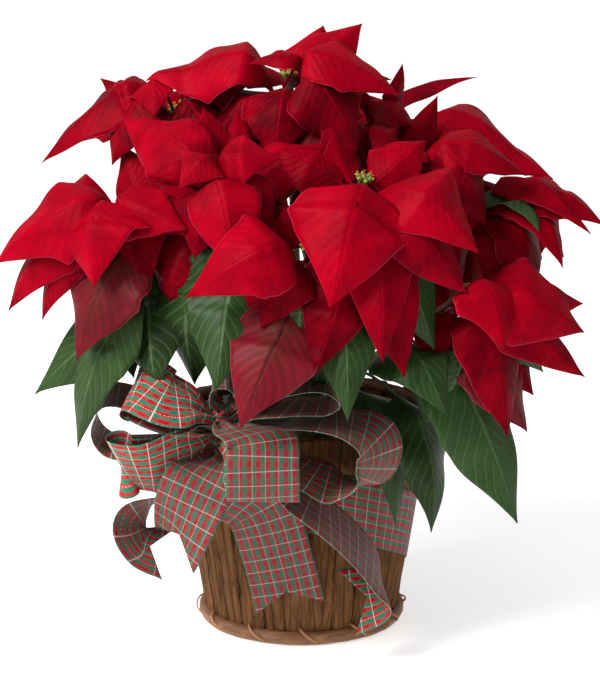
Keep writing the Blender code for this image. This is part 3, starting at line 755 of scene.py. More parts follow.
@dataclass
class Shell:
    """Points, faces and marks that become one mesh, in millimetres."""

    points: list[np.ndarray] = field(default_factory=list)
    faces: list[tuple[int, ...]] = field(default_factory=list)
    uvs: list[Point] = field(default_factory=list)
    under: list[float] = field(default_factory=list)
    stalk: list[float] = field(default_factory=list)
    finish_of: list[int] = field(default_factory=list)
    # From 0 to 1 on every point: random on the bark strips, and painted shade and painted light on the bracts
    # and leaves
    tone: float = 0.5

    def add(
        self, points: Any, uvs: Any, faces: Any, under: float = 0.0, stalk: float = 0.0, finish: int = 0
    ) -> int:
        """Add points and faces.

        Args:
            points: the points.
            uvs: a UV for each point.
            faces: faces that number these points from 0.
            under: 1 on an underside.
            stalk: 1 on a stalk.
            finish: which of the mesh's materials the faces take.

        Returns:
            The number of the first point.
        """
        first = len(self.points)
        self.points += list(points)
        self.uvs += list(uvs)
        self.under += [under] * len(points)
        self.stalk += [stalk] * len(points)
        self.faces += [tuple(first + int(k) for k in face) for face in faces]
        self.finish_of += [finish] * len(faces)
        return first

    def sheet(self, rows: np.ndarray, uv: np.ndarray, thickness: float) -> None:
        """Add a thin closed sheet round a grid of points.

        Args:
            rows: the middle surface, rows by columns by 3.
            uv: the UVs, rows by columns by 2.
            thickness: how thick it is.
        """
        count, wide = rows.shape[:2]
        down = np.gradient(rows, axis=0)
        across = np.gradient(rows, axis=1)
        out = np.cross(across, down)
        out /= np.maximum(np.linalg.norm(out, axis=2, keepdims=True), TINY)
        offset = out * thickness / 2
        quads = []
        for i in range(count - 1):
            for j in range(wide - 1):
                a = i * wide + j
                quads.append((a, a + 1, a + wide + 1, a + wide))
        flat_uv = uv.reshape(-1, 2)
        top = self.add((rows + offset).reshape(-1, 3), flat_uv, quads)
        back = [quad[::-1] for quad in quads]
        low = self.add((rows - offset).reshape(-1, 3), flat_uv, back, under=1.0)
        rim = list(range(wide)) + [i * wide + wide - 1 for i in range(1, count)]
        rim += [(count - 1) * wide + i for i in range(wide - 2, -1, -1)]
        rim += [i * wide for i in range(count - 2, 0, -1)]
        for a, b in zip(rim, rim[1:] + rim[:1]):
            self.faces.append((top + b, top + a, low + a, low + b))
            self.finish_of.append(0)

    def tube(
        self, path: Any, radii: Sequence[float], sides: int = 8, flat: float = 1.0,
        stalk: float = 0.0, finish: int = 0, lean: Point = (0.31, 0.95, 0.05),
    ) -> None:
        """Add a tube along a path, closed at both ends.

        Args:
            path: the points along its middle.
            radii: its radius at each point.
            sides: how many sides it has.
            flat: its second radius as a share of the first.
            stalk: 1 where it is a stalk.
            finish: which of the mesh's materials it takes.
            lean: a direction that the path never follows, which sets the first radius.
        """
        path = np.array(path, float)
        turn = np.linspace(0, 2 * math.pi, sides, endpoint=False)
        rings, uvs = [], []
        travelled = 0.0
        for i, centre in enumerate(path):
            ahead = unit(path[min(i + 1, len(path) - 1)] - path[max(i - 1, 0)])
            first = unit(np.cross(ahead, vec(lean)))
            second = np.cross(ahead, first)
            travelled += float(np.linalg.norm(centre - path[max(i - 1, 0)]))
            for angle in turn:
                way = math.cos(angle) * first + math.sin(angle) * second * flat
                rings.append(centre + radii[i] * way)
                uvs.append((angle * radii[i], travelled))
        faces = []
        for i in range(len(path) - 1):
            for k in range(sides):
                j = (k + 1) % sides
                faces.append((i * sides + k, i * sides + j, (i + 1) * sides + j, (i + 1) * sides + k))
        last = (len(path) - 1) * sides
        faces.append(tuple(range(sides))[::-1])
        faces.append(tuple(last + k for k in range(sides)))
        self.add(rings, uvs, faces, stalk=stalk, finish=finish)

    def turned(self, outline: Sequence[Point], sides: int, shift: Any = None) -> None:
        """Add a closed outline turned round the upright axis.

        Args:
            outline: the (radius, height) points, closed from the last to the first.
            sides: how many sides it has.
            shift: gives a change of radius and height from an angle and an outline point, or None.
        """
        points, uvs, faces = [], [], []
        count = len(outline)
        for k in range(sides):
            angle = 2 * math.pi * k / sides
            for m, (radius, height) in enumerate(outline):
                more = shift(angle, m) if shift else (0.0, 0.0)
                reach = max(radius + more[0], 0.0) if radius > 0 else 0.0
                points.append((reach * math.cos(angle), reach * math.sin(angle), height + more[1]))
                uvs.append((m * OUTLINE_STEP, angle * max(radius, LEAST_WRAP)))
        for k in range(sides):
            j = (k + 1) % sides
            for m in range(count):
                n = (m + 1) % count
                if outline[m][0] > 0 or outline[n][0] > 0:
                    faces.append((k * count + m, j * count + m, j * count + n, k * count + n))
        self.add(points, uvs, faces)

    def piece(
        self, name: str, materials: Sequence[bpy.types.Material], slot: Slot, replaces: Sequence[str],
        smooth: bool = True,
    ) -> bpy.types.Object:
        """Make the mesh an object that rides on the body.

        Args:
            name: the piece's name.
            materials: its materials.
            slot: the record's slot; not used.
            replaces: the CAD nodes that it stands for.
            smooth: whether it is shaded smooth.

        Returns:
            The object.
        """
        mesh = bpy.data.meshes.new(name)
        mesh.from_pydata([tuple(float(x) * MM for x in point) for point in self.points], [], self.faces)
        layer = mesh.uv_layers.new(name="UVMap")
        corners = np.zeros(len(mesh.loops), int)
        mesh.loops.foreach_get("vertex_index", corners)
        uvs = np.array([(float(u), float(v)) for u, v in self.uvs])
        layer.data.foreach_set("uv", uvs[corners].ravel())
        marks = {"under": self.under, "stalk": self.stalk, "tone": [self.tone] * len(self.points)}
        for key, values in marks.items():
            mesh.attributes.new(key, "FLOAT", "POINT").data.foreach_set("value", values)
        for material in materials:
            mesh.materials.append(material)
        mesh.polygons.foreach_set("material_index", self.finish_of)
        mesh.validate()
        mesh.update()
        if smooth:
            mesh.shade_smooth()
        made = bpy.data.objects.new(name, mesh)
        bpy.context.scene.collection.objects.link(made)
        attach(made, BODY)
        if replaces:
            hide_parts(*replaces)
        log.info("piece %s: %d faces", name, len(mesh.polygons))
        return made


# The plant's layout

TRUNK_TOP = 200
TRUNK_FOOT = 152.35

# Between a branch's end and the shoot that it carries
SEAT_GAP = 0.35

# The shoots fan out from this height on the trunk's line, drawn up by this much
FAN_HEIGHT = 190
FAN_RISE = 1.1

# A branch starts this far below the trunk's top, and its two middle control points lie at these shares
BRANCH_DEPTH = 12
BRANCH_SPREAD = 0.35
BRANCH_RISE = 0.28
BRANCH_EASE = 0.35


@dataclass(frozen=True)
class Head:
    """A flower head: its place, and the length of the shoot below it."""

    at: Point
    shoot: float = 22

    def axis(self) -> np.ndarray:
        """The way the shoot points: up and away from the trunk."""
        x, y, z = self.at
        return unit(vec((x, y, FAN_RISE * (z - FAN_HEIGHT))))

    def branch(self) -> tuple[np.ndarray, ...]:
        """Lay out the head's branch.

        Returns:
            The control points, from inside the trunk to the foot of the shoot.
        """
        axis = self.axis()
        end = vec(self.at) - axis * (self.shoot + SEAT_GAP)
        start = vec((0, 0, TRUNK_TOP - BRANCH_DEPTH))
        rise = end[2] - start[2]
        first = start + vec((BRANCH_SPREAD * end[0], BRANCH_SPREAD * end[1], BRANCH_RISE * rise))
        second = end - axis * BRANCH_EASE * np.linalg.norm(end - start)
        return start, first, second, end


@dataclass(frozen=True)
class Blade:
    """A bract or leaf on a head's shoot. Face turns its upper side to -Y, and free ones stand clear."""

    head: str
    tip: Point
    width: float
    arch: float = 14
    drop: float = 10
    stalk: float = 12
    face: float = 0.7
    green: bool = False
    free: bool = False
    # How dark it is painted, from near black at 0 to its full colour at 1: painted shade and painted light
    tone: float = 0.5


@dataclass(frozen=True)
class Leaf:
    """A leaf on a branch, at a fraction of the branch's length."""

    name: str
    branch: str
    along: float
    tip: Point
    width: float
    arch: float = 16
    stalk: float = 35
    face: float = 0.9
    below_bow: bool = False
    turning: bool = False
    # How dark it is painted, from near black at 0 to its full colour at 1: painted shade and painted light
    tone: float = 0.5


HEADS = {
    "top": Head((-10, 10, 461)),
    "front_left": Head((-64, -75, 391), 26),
    "front_right": Head((49, -85, 391), 52),
    "left": Head((-140, -50, 360), 30),
    "lower_right": Head((129, -95, 302), 36),
    "upper_right": Head((88, -10, 388)),
    "right_shoulder": Head((78, 60, 422)),
    "left_shoulder": Head((-105, 60, 426)),
    "back_top": Head((40, 115, 415)),
    "far_right": Head((150, 30, 345), 30),
    "centre": Head((5, -115, 342)),
    "back_left": Head((-75, 135, 365)),
    "back_right": Head((105, 130, 355)),
}

# Lit leaves are painted lighter and leaves in shadow darker: painted light and painted shade
LEAVES = (
    Leaf("leaf_back_left", "back_left", 0.6, (-125, 205, 185), 66, face=0),
    Leaf("leaf_back", "back_right", 0.55, (35, 222, 180), 70, face=0),
    Leaf("leaf_back_right", "back_right", 0.6, (165, 170, 190), 64, face=0),
    Leaf("leaf_side_left", "left_shoulder", 0.5, (-195, 95, 215), 66, face=0),
    Leaf("leaf_on_bark", "centre", 0.3, (76, -94, 108), 40, arch=50, face=0, below_bow=True, tone=0.6),
    Leaf(
        "leaf_right_low", "lower_right", 0.45, (105, -103, 105), 50, arch=36, face=0, below_bow=True, tone=0.2
    ),
    Leaf("leaf_left_outer", "left", 0.56, (-215, -62, 203), 52, arch=20, tone=0.5),
    Leaf("leaf_left_inner", "left", 0.72, (-178, -92, 170), 40, arch=31, tone=0.8),
    Leaf("leaf_over_bow", "front_left", 0.55, (-66, -160, 221), 58, arch=26, tone=0.35),
    Leaf("leaf_right_bright", "lower_right", 0.66, (173, -120, 118), 56, tone=1.0),
    Leaf("leaf_front_left", "front_right", 0.55, (34, -170, 200), 49, arch=31, tone=0.5),
    Leaf("leaf_front_right", "lower_right", 0.5, (116, -150, 192), 50, arch=20, tone=0.6),
    Leaf("leaf_turning_right", "lower_right", 0.8, (173, -90, 177), 44, turning=True),
    Leaf("leaf_turning_left", "left", 0.82, (-176, -114, 243), 56, arch=26, turning=True, tone=0.4),
    Leaf("leaf_turning_front", "centre", 0.78, (-48, -175, 203), 56, arch=15, turning=True, tone=0.9),
)

# The darker bracts and leaves that fill the crown's inside, back and sides, which the others lie over,
# painted near black as painted shade inside the crown
INNER_BRACTS = (
    Blade("back_left", (-150, 150, 222), 60, drop=18, stalk=22, face=0, green=True, tone=0.3),
    Blade("back_left", (-60, 200, 212), 62, drop=18, stalk=22, face=0, green=True, tone=0.2),
    Blade("back_right", (82, 200, 212), 62, drop=18, stalk=22, face=0, green=True, tone=0.3),
    Blade("back_right", (178, 138, 224), 60, drop=18, stalk=22, face=0, green=True, tone=0.2),
    Blade("left_shoulder", (-172, 66, 262), 58, drop=18, stalk=20, face=0, green=True, tone=0.2),
    Blade("far_right", (200, 74, 240), 58, drop=20, stalk=18, face=0, green=True, tone=0.2),
    Blade("back_left", (-118, 120, 262), 58, drop=14, face=0, tone=0.15),
    Blade("back_left", (-20, 150, 268), 58, drop=14, face=0, tone=0.15),
    Blade("back_left", (-92, 182, 258), 60, drop=12, face=0, tone=0.25),
    Blade("back_right", (68, 168, 264), 58, drop=14, face=0, tone=0.15),
    Blade("back_right", (150, 176, 256), 60, drop=12, face=0, tone=0.25),
    Blade("back_right", (168, 96, 268), 58, drop=14, face=0, tone=0.15),
    Blade("back_top", (0, 168, 306), 60, drop=12, face=0, tone=0.2),
    Blade("back_top", (82, 172, 304), 60, drop=12, face=0, tone=0.2),
    Blade("back_top", (112, 120, 330), 56, drop=12, face=0, tone=0.15),
    Blade("left_shoulder", (-150, 118, 318), 58, drop=12, face=0, tone=0.2),
    Blade("left_shoulder", (-84, 130, 316), 58, drop=12, face=0, tone=0.15),
    Blade("far_right", (206, 62, 276), 54, drop=12, face=0, tone=0.2),
    Blade("front_left", (-18, -46, 312), 58, drop=20, tone=0.05),
    Blade("far_right", (126, -38, 268), 62, drop=16, tone=0.05),
    Blade("left", (-96, -78, 222), 62, drop=28, stalk=24, green=True, tone=0.0),
    Blade("back_top", (-5, 66, 305), 74, face=0.2, tone=0.05),
    Blade("right_shoulder", (52, 34, 300), 70, drop=18, tone=0.05),
    Blade("left_shoulder", (-52, 36, 305), 70, drop=18, tone=0.05),
    Blade("top", (-22, -20, 346), 64, drop=20, tone=0.05),
    Blade("top", (30, -16, 350), 64, drop=20, tone=0.05),
    Blade("upper_right", (120, -58, 264), 60, drop=18, tone=0.05),
    Blade("left", (-122, -46, 226), 58, drop=26, stalk=22, green=True, tone=0.05),
    Blade("front_left", (-78, -66, 224), 58, drop=26, stalk=24, green=True, tone=0.05),
    Blade("lower_right", (104, -104, 246), 46, drop=28, stalk=14, green=True, tone=0.05),
    Blade("top", (-78, -22, 408), 58, tone=0.05),
    Blade("front_right", (0, -48, 348), 58, drop=20, tone=0.05),
    Blade("front_right", (62, -30, 330), 58, drop=24, tone=0.05),
    Blade("left_shoulder", (-108, -25, 362), 58, tone=0.05),
    Blade("front_left", (-84, -62, 288), 60, drop=16, tone=0.05),
    Blade("front_left", (-38, -62, 284), 60, drop=18, tone=0.05),
    Blade("front_left", (-62, -14, 300), 58, drop=14, tone=0.05),
    Blade("upper_right", (118, -42, 296), 60, drop=12, tone=0.05),
    Blade("upper_right", (92, -22, 290), 58, drop=14, tone=0.05),
    Blade("far_right", (142, -50, 262), 56, drop=14, tone=0.05),
    Blade("left", (-140, -40, 262), 54, drop=20, tone=0.05),
    Blade("centre", (18, -96, 226), 56, drop=20, stalk=18, green=True, tone=0.05),
    Blade("front_left", (-50, -84, 246), 56, drop=24, stalk=22, green=True, tone=0.05),
    Blade("top", (-22, -52, 396), 56, tone=0.1),
    Blade("top", (44, -40, 398), 56, tone=0.08),
    Blade("top", (-64, 40, 418), 54, tone=0.1),
    Blade("top", (50, 62, 420), 52, face=0.2, tone=0.1),
    Blade("left_shoulder", (-62, 10, 382), 54, tone=0.06),
    Blade("left_shoulder", (-150, 5, 372), 54, tone=0.12),
    Blade("left_shoulder", (-165, 55, 395), 48, tone=0.3),
    Blade("right_shoulder", (60, 0, 380), 54, tone=0.06),
    Blade("right_shoulder", (125, 10, 385), 54, tone=0.1),
    Blade("upper_right", (66, -62, 334), 54, tone=0.08),
    Blade("upper_right", (142, -48, 330), 54, tone=0.12),
    Blade("far_right", (170, -62, 268), 50, tone=0.05),
    Blade("far_right", (205, -20, 292), 50, tone=0.2),
    Blade("front_left", (-112, -66, 338), 52, tone=0.08),
    Blade("front_left", (-82, -122, 330), 50, tone=0.1),
    Blade("front_left", (-22, -118, 330), 52, tone=0.05),
    Blade("left", (-118, -112, 300), 52, tone=0.08),
    Blade("left", (-190, -20, 300), 50, tone=0.1),
    Blade("centre", (-46, -128, 268), 52, tone=0.05),
    Blade("centre", (46, -132, 268), 52, tone=0.05),
    Blade("lower_right", (96, -122, 238), 50, tone=0.05),
    Blade("lower_right", (186, -96, 218), 48, tone=0.08),
    Blade("centre", (-8, -112, 236), 54, drop=20, stalk=20, green=True, tone=0.05),
    Blade("lower_right", (92, -86, 196), 52, drop=30, stalk=18, green=True, tone=0.1),
)

# In the order in which they lie on each other, the lowest first
# Lit bracts are painted near their full red and bracts in shadow near black: painted light and painted shade
BRACTS = (
    Blade("back_left", (-170, 150, 320), 52, face=0),
    Blade("back_left", (-135, 210, 290), 56, face=0),
    Blade("back_left", (-10, 205, 310), 54, face=0),
    Blade("back_left", (-65, 238, 275), 62, face=0),
    Blade("back_left", (-40, 160, 415), 40, arch=-6, face=0, free=True),
    Blade("back_right", (200, 150, 300), 52, face=0),
    Blade("back_right", (160, 215, 285), 56, face=0),
    Blade("back_right", (35, 200, 300), 50, face=0),
    Blade("back_right", (90, 238, 272), 62, face=0),
    Blade("back_right", (122, 152, 392), 36, arch=-6, face=0, free=True),
    Blade("far_right", (225, 95, 305), 50, face=0),
    Blade("far_right", (165, 120, 330), 46, face=0),
    Blade("far_right", (134, -6, 371), 34, free=True),
    Blade("far_right", (200, -40, 285), 44),
    Blade("far_right", (179, -50, 306), 44, drop=22, green=True),
    Blade("far_right", (235, -35, 317), 40),
    Blade("far_right", (250, 0, 314), 52, tone=0.7),
    Blade("left", (-220, 40, 330), 46),
    Blade("left", (-200, -70, 267), 40, tone=0.2),
    Blade("left", (-230, -60, 272), 46, tone=0.4),
    Blade("left", (-165, -88, 298), 40, tone=0.3),
    Blade("left", (-148, 5, 405), 40, arch=-6, free=True),
    Blade("left", (-245, -70, 315), 62, arch=22, tone=0.9),
    Blade("left", (-75, -110, 344), 44, tone=0.6),
    Blade("left", (-150, -120, 292), 68, arch=20, tone=0.85),
    Blade("left_shoulder", (-195, 110, 390), 48, face=0),
    Blade("left_shoulder", (-120, 165, 385), 52, face=0),
    Blade("left_shoulder", (-110, -10, 400), 40),
    Blade("left_shoulder", (-50, 110, 425), 40, face=0),
    Blade("left_shoulder", (-215, 40, 374), 46, tone=0.25),
    Blade("left_shoulder", (-171, 75, 451), 34, arch=4, free=True),
    Blade("back_top", (-40, 185, 375), 50, face=0),
    Blade("back_top", (40, 215, 360), 60, face=0),
    Blade("back_top", (120, 185, 375), 52, face=0),
    Blade("back_top", (-25, 120, 425), 40, face=0),
    Blade("right_shoulder", (165, 115, 380), 50, face=0),
    Blade("right_shoulder", (25, 45, 425), 38),
    Blade("right_shoulder", (62, -8, 424), 36),
    Blade("right_shoulder", (84, 40, 468), 16, arch=4, free=True),
    Blade("back_top", (150, 90, 450), 30, tone=0.3),
    Blade("upper_right", (160, 40, 378), 40),
    Blade("upper_right", (40, 0, 400), 36),
    Blade("upper_right", (100, -50, 372), 34),
    Blade("upper_right", (112, 10, 445), 24, arch=-8, free=True),
    Blade("upper_right", (183, -20, 366), 42, tone=0.7),
    Blade("right_shoulder", (211, 30, 372), 64, arch=20, stalk=26, tone=1.0),
    Blade("lower_right", (189, -70, 227), 34, drop=28, green=True),
    Blade("lower_right", (162, -132, 193), 50, drop=24, tone=0.2),
    Blade("lower_right", (230, -45, 282), 42),
    Blade("lower_right", (225, -110, 237), 42),
    Blade("lower_right", (222, -90, 263), 60, tone=0.9),
    Blade("lower_right", (149, -140, 248), 52, tone=0.8),
    Blade("front_right", (102, -122, 258), 48, drop=44, stalk=24, green=True),
    Blade("front_right", (7, -150, 238), 54, drop=44, stalk=30, tone=0.15),
    Blade("front_right", (77, -150, 241), 50, drop=40, stalk=26, tone=0.35),
    Blade("front_right", (60, -165, 255), 46, drop=34, stalk=24, tone=0.6),
    Blade("front_left", (-46, -148, 317), 50, arch=13, tone=0.75),
    Blade("centre", (-32, -148, 279), 44, tone=0.2),
    Blade("centre", (-12, -122, 378), 40, arch=4, free=True),
    Blade("centre", (-92, -150, 302), 58, arch=24, tone=1.0),
    Blade("front_right", (125, -127, 296), 50, drop=24, stalk=20, tone=0.35),
    Blade("front_left", (-100, -112, 360), 40, tone=0.5),
    Blade("front_left", (-146, -10, 430), 52, arch=18, tone=0.8),
    Blade("front_left", (26, -46, 405), 42, arch=20, drop=14),
    Blade("front_right", (-25, -60, 400), 42),
    Blade("front_left", (-2, -90, 392), 42, tone=0.75),
    Blade("front_left", (-52, -40, 440), 26, arch=-7, free=True),
    Blade("front_left", (-79, -42, 443), 32, arch=-7, free=True, tone=0.7),
    Blade("front_right", (20, -50, 443), 26, arch=-7, free=True),
    Blade("front_right", (26, -72, 428), 28, arch=-5, free=True, tone=0.8),
    Blade("front_right", (100, -55, 418), 40, tone=0.8),
    Blade("front_right", (136, -120, 328), 60, arch=18, tone=1.0),
    Blade("front_right", (19, -175, 300), 78, arch=20, stalk=18, tone=1.0),
    Blade("top", (-42, 75, 462), 40, arch=8, face=0),
    Blade("top", (76, 65, 451), 42, face=0.4, tone=0.3),
    Blade("top", (18, 34, 500), 46, arch=-6, face=1.2, tone=0.9),
    Blade("top", (52, 34, 494), 38, arch=-2, face=1.2, tone=0.85),
    Blade("top", (-52, -10, 462), 20),
    Blade("top", (-125, 30, 437), 56, arch=18, tone=0.9),
    Blade("top", (82, -30, 440), 44, arch=16, tone=0.9),
)


# Foliage


@dataclass
class Stack:
    """Everything that later blades must lie over."""

    gap: float = 2.0
    reach: float = 42
    slope: float = 0.4
    root: float = 0.25
    points: list[tuple[float, ...]] = field(default_factory=list)
    faces: list[tuple[int, ...]] = field(default_factory=list)

    def lay(self, rows: np.ndarray) -> None:
        """Add a surface.

        Args:
            rows: its points, rows by columns by 3.
        """
        first = len(self.points)
        count, wide = rows.shape[:2]
        self.points += [tuple(point) for point in rows.reshape(-1, 3)]
        for i in range(count - 1):
            for j in range(wide - 1):
                a = first + i * wide + j
                self.faces += [(a, a + 1, a + wide + 1), (a, a + wide + 1, a + wide)]

    def lifts(self, rows: np.ndarray, places: np.ndarray, up: np.ndarray, length: float) -> np.ndarray:
        """How far each row must rise to clear what is there.

        Args:
            rows: the blade's trial points.
            places: each row's place along the blade, from 0 to 1.
            up: the way that the blade rises.
            length: the blade's length.

        Returns:
            The rise of each row.
        """
        if not self.faces:
            return np.zeros(len(rows))
        tree = BVHTree.FromPolygons(self.points, self.faces)
        way = Vector(up)
        needs = np.zeros(len(rows))
        for i, row in enumerate(rows):
            for point in row:
                above = Vector(point) + way * self.reach
                distance = tree.ray_cast(above, -way, self.reach + self.gap)[3]
                if distance is not None:
                    needs[i] = max(needs[i], self.reach - distance + self.gap)
        spans = np.abs(places[:, None] - places[None, :]) * length
        spread = np.where(needs > 0, needs, -self.reach)[None, :] - self.slope * spans
        eased = np.clip(places / self.root, 0, 1)
        return np.clip(spread.max(axis=1), 0, None) * eased * eased * (3 - 2 * eased)


# A blade's outline: where it is widest, what is left beyond, how it swells and tapers, and its tip
WIDEST = 0.34
BEYOND = 0.66
SWELL = 0.58
TAPER = 1.13
TIP_SHARE = 0.012


@dataclass
class BladeShape:
    """The surface of one bract or leaf, from its base to its tip."""

    base: np.ndarray
    tip: np.ndarray
    outward: np.ndarray
    width: float
    arch: float
    stalk: float
    seed: int
    fold: float = 0.47
    puff: float = 0.08
    ripple: float = 0.1

    rows: int = 34
    columns: int = 15
    stalk_rows: int = 5
    rib_rows: int = 8
    trial_rows: int = 14
    trial_columns: int = 7
    stalk_half: float = 1.3
    stalk_share: float = 0.45
    tip_half: float = 0.12
    thickness: float = 0.45
    sway_share: float = 0.035
    tooth_at: tuple[float, float] = (0.28, 0.6)
    tooth_size: tuple[float, float] = (0.0, 0.14)
    tooth_length: float = 0.055
    wave_rates: tuple[float, float] = (8, 15)
    rib_radii: tuple[float, float] = (1.0, 0.3)
    rib_end: float = 0.8

    def __post_init__(self) -> None:
        """Work out the blade's own axes and its chance features."""
        chord = self.tip - self.base
        self.length = float(np.linalg.norm(chord))
        self.ahead = chord / self.length
        self.up = unit(self.outward - self.ahead * self.outward.dot(self.ahead))
        self.side = np.cross(self.ahead, self.up)
        self.start = min(self.stalk / self.length, self.stalk_share)
        chance = random.Random(self.seed)
        self.sway = chance.uniform(-self.sway_share, self.sway_share) * self.length
        self.teeth = [(chance.uniform(*self.tooth_at), chance.uniform(*self.tooth_size)) for _ in range(2)]
        self.waves = [(chance.uniform(*self.wave_rates), chance.uniform(0, TURN)) for _ in range(2)]

    @staticmethod
    def outline(x: np.ndarray) -> np.ndarray:
        """Half the width along the blade, as a share of the widest."""
        x = np.clip(x, 0, 1)
        return np.maximum((x / WIDEST) ** SWELL * ((1 - x) / BEYOND) ** TAPER, TIP_SHARE)

    def surface(self, count: int, wide: int) -> tuple[np.ndarray, np.ndarray, np.ndarray]:
        """The blade's middle surface without its stalk.

        Args:
            count: how many rows.
            wide: how many columns.

        Returns:
            The points, the place of each row, and the UVs.
        """
        x = np.linspace(0.0, 1, count)
        places = self.start + (1 - self.start) * x
        v = np.linspace(-1, 1, wide)
        middle, normal = self.spine(places)
        half = self.width / 2 * self.outline(x)
        half = np.maximum(half, np.where(x < 0.1, self.stalk_half * 0.7, self.tip_half))[:, None]
        for sign, (where, tall) in zip((-1, 1), self.teeth):
            tooth = 1 + tall * np.exp(-(((x - where) / self.tooth_length) ** 2))[:, None]
            half = np.where(v[None, :] * sign > 0, half * (1 + (tooth - 1) * np.abs(v)), half)
        size = np.abs(v)[None, :]
        sink = self.fold * half * size**1.04 - self.puff * half * size * (1 - size)
        for sign, (many, start) in zip((-1, 1), self.waves):
            wave = self.ripple * half * size**2 * np.sin(many * x + start)[:, None]
            sink = sink + np.where(v[None, :] * sign > 0, wave, 0)
        rows = middle[:, None, :] + self.side * (half * v[None, :])[:, :, None]
        rows = rows - normal[:, None, :] * sink[:, :, None]
        uv = grid((v[None, :] + 1) / 2, x[:, None])
        return rows, places, uv

    def spine(self, places: np.ndarray) -> tuple[np.ndarray, np.ndarray]:
        """The midrib's points and the way out at each.

        Args:
            places: where along the blade, from 0 to 1.

        Returns:
            The points and the normals.
        """
        places = np.asarray(places, float)[:, None]
        chord = self.tip - self.base
        middle = self.base + chord * places + self.up * self.arch * 4 * places * (1 - places)
        middle = middle + self.side * self.sway * np.sin(math.pi * places) ** 2
        slope = chord + self.up * self.arch * 4 * (1 - 2 * places)
        normal = np.cross(self.side, slope)
        return middle, normal / np.linalg.norm(normal, axis=1, keepdims=True)

    def shell(self, stack: Stack, free: bool, tone: float) -> Shell:
        """Lay the blade on what is there and give its mesh.

        Args:
            stack: what it lies over, which it then joins.
            free: whether it stands clear instead.
            tone: how dark or light it is painted, from 0 to 1, as painted shade and painted light.

        Returns:
            The mesh.
        """
        trial, places, _ = self.surface(self.trial_rows, self.trial_columns)
        rise = stack.lifts(trial, places, self.up, self.length) * (0 if free else 1)
        if not free:
            stack.lay(trial + rise[:, None, None] * self.up)
        rows, own, uv = self.surface(self.rows, self.columns)
        rows = rows + np.interp(own, places, rise)[:, None, None] * self.up
        shell = Shell(tone=tone)
        shell.sheet(rows, uv, self.thickness)
        stalk_places = np.linspace(0, self.start + 0.02, self.stalk_rows)
        ribs = np.linspace(self.start + 0.08, self.rib_end, self.rib_rows)
        places_all = np.concatenate([stalk_places, ribs])
        middle, normal = self.spine(places_all)
        middle = middle + np.interp(places_all, places, rise, left=0.0)[:, None] * self.up
        rib = np.linspace(*self.rib_radii, self.rib_rows)
        thin = np.concatenate([np.full(self.stalk_rows, self.stalk_half), rib])
        middle = middle - normal * np.where(places_all > self.start, thin * 0.75, 0)[:, None]
        shell.tube(middle, thin, 7, stalk=1.0)
        return shell


# How far below its head a shoot starts to swell, with its radius at each place
SHOOT_SWELL = ((14, 3.1), (9, 3.2), (5, 3.6), (3, 4.1))

# A flower's cup and its gland, as heights and radii
CUP = ((0, 1.1), (1.2, 1.9), (2.8, 2.3), (4.4, 2.0), (5.4, 1.5), (5.8, 0.9))
GLAND = ((-0.7, 0.5), (0, 1.15), (0.7, 1.05), (1.1, 0.5))

# Where the gland and the stamens are on the cup, and the stamens' number, radii and share of red
GLAND_HEIGHT = 4.1
GLAND_REACH = 2.1
STAMEN_HEIGHT = 5.4
STAMENS = 4
STAMEN_RADII = (0.22, 0.22, 0.5, 0.3)
RED_SHARE = 0.7

# The flowers' finishes, in the order that their faces number them
FLOWER_FINISHES = ("cup_green", "gland_yellow", "stamen_red")
YELLOW = FLOWER_FINISHES.index("gland_yellow")
RED = FLOWER_FINISHES.index("stamen_red")


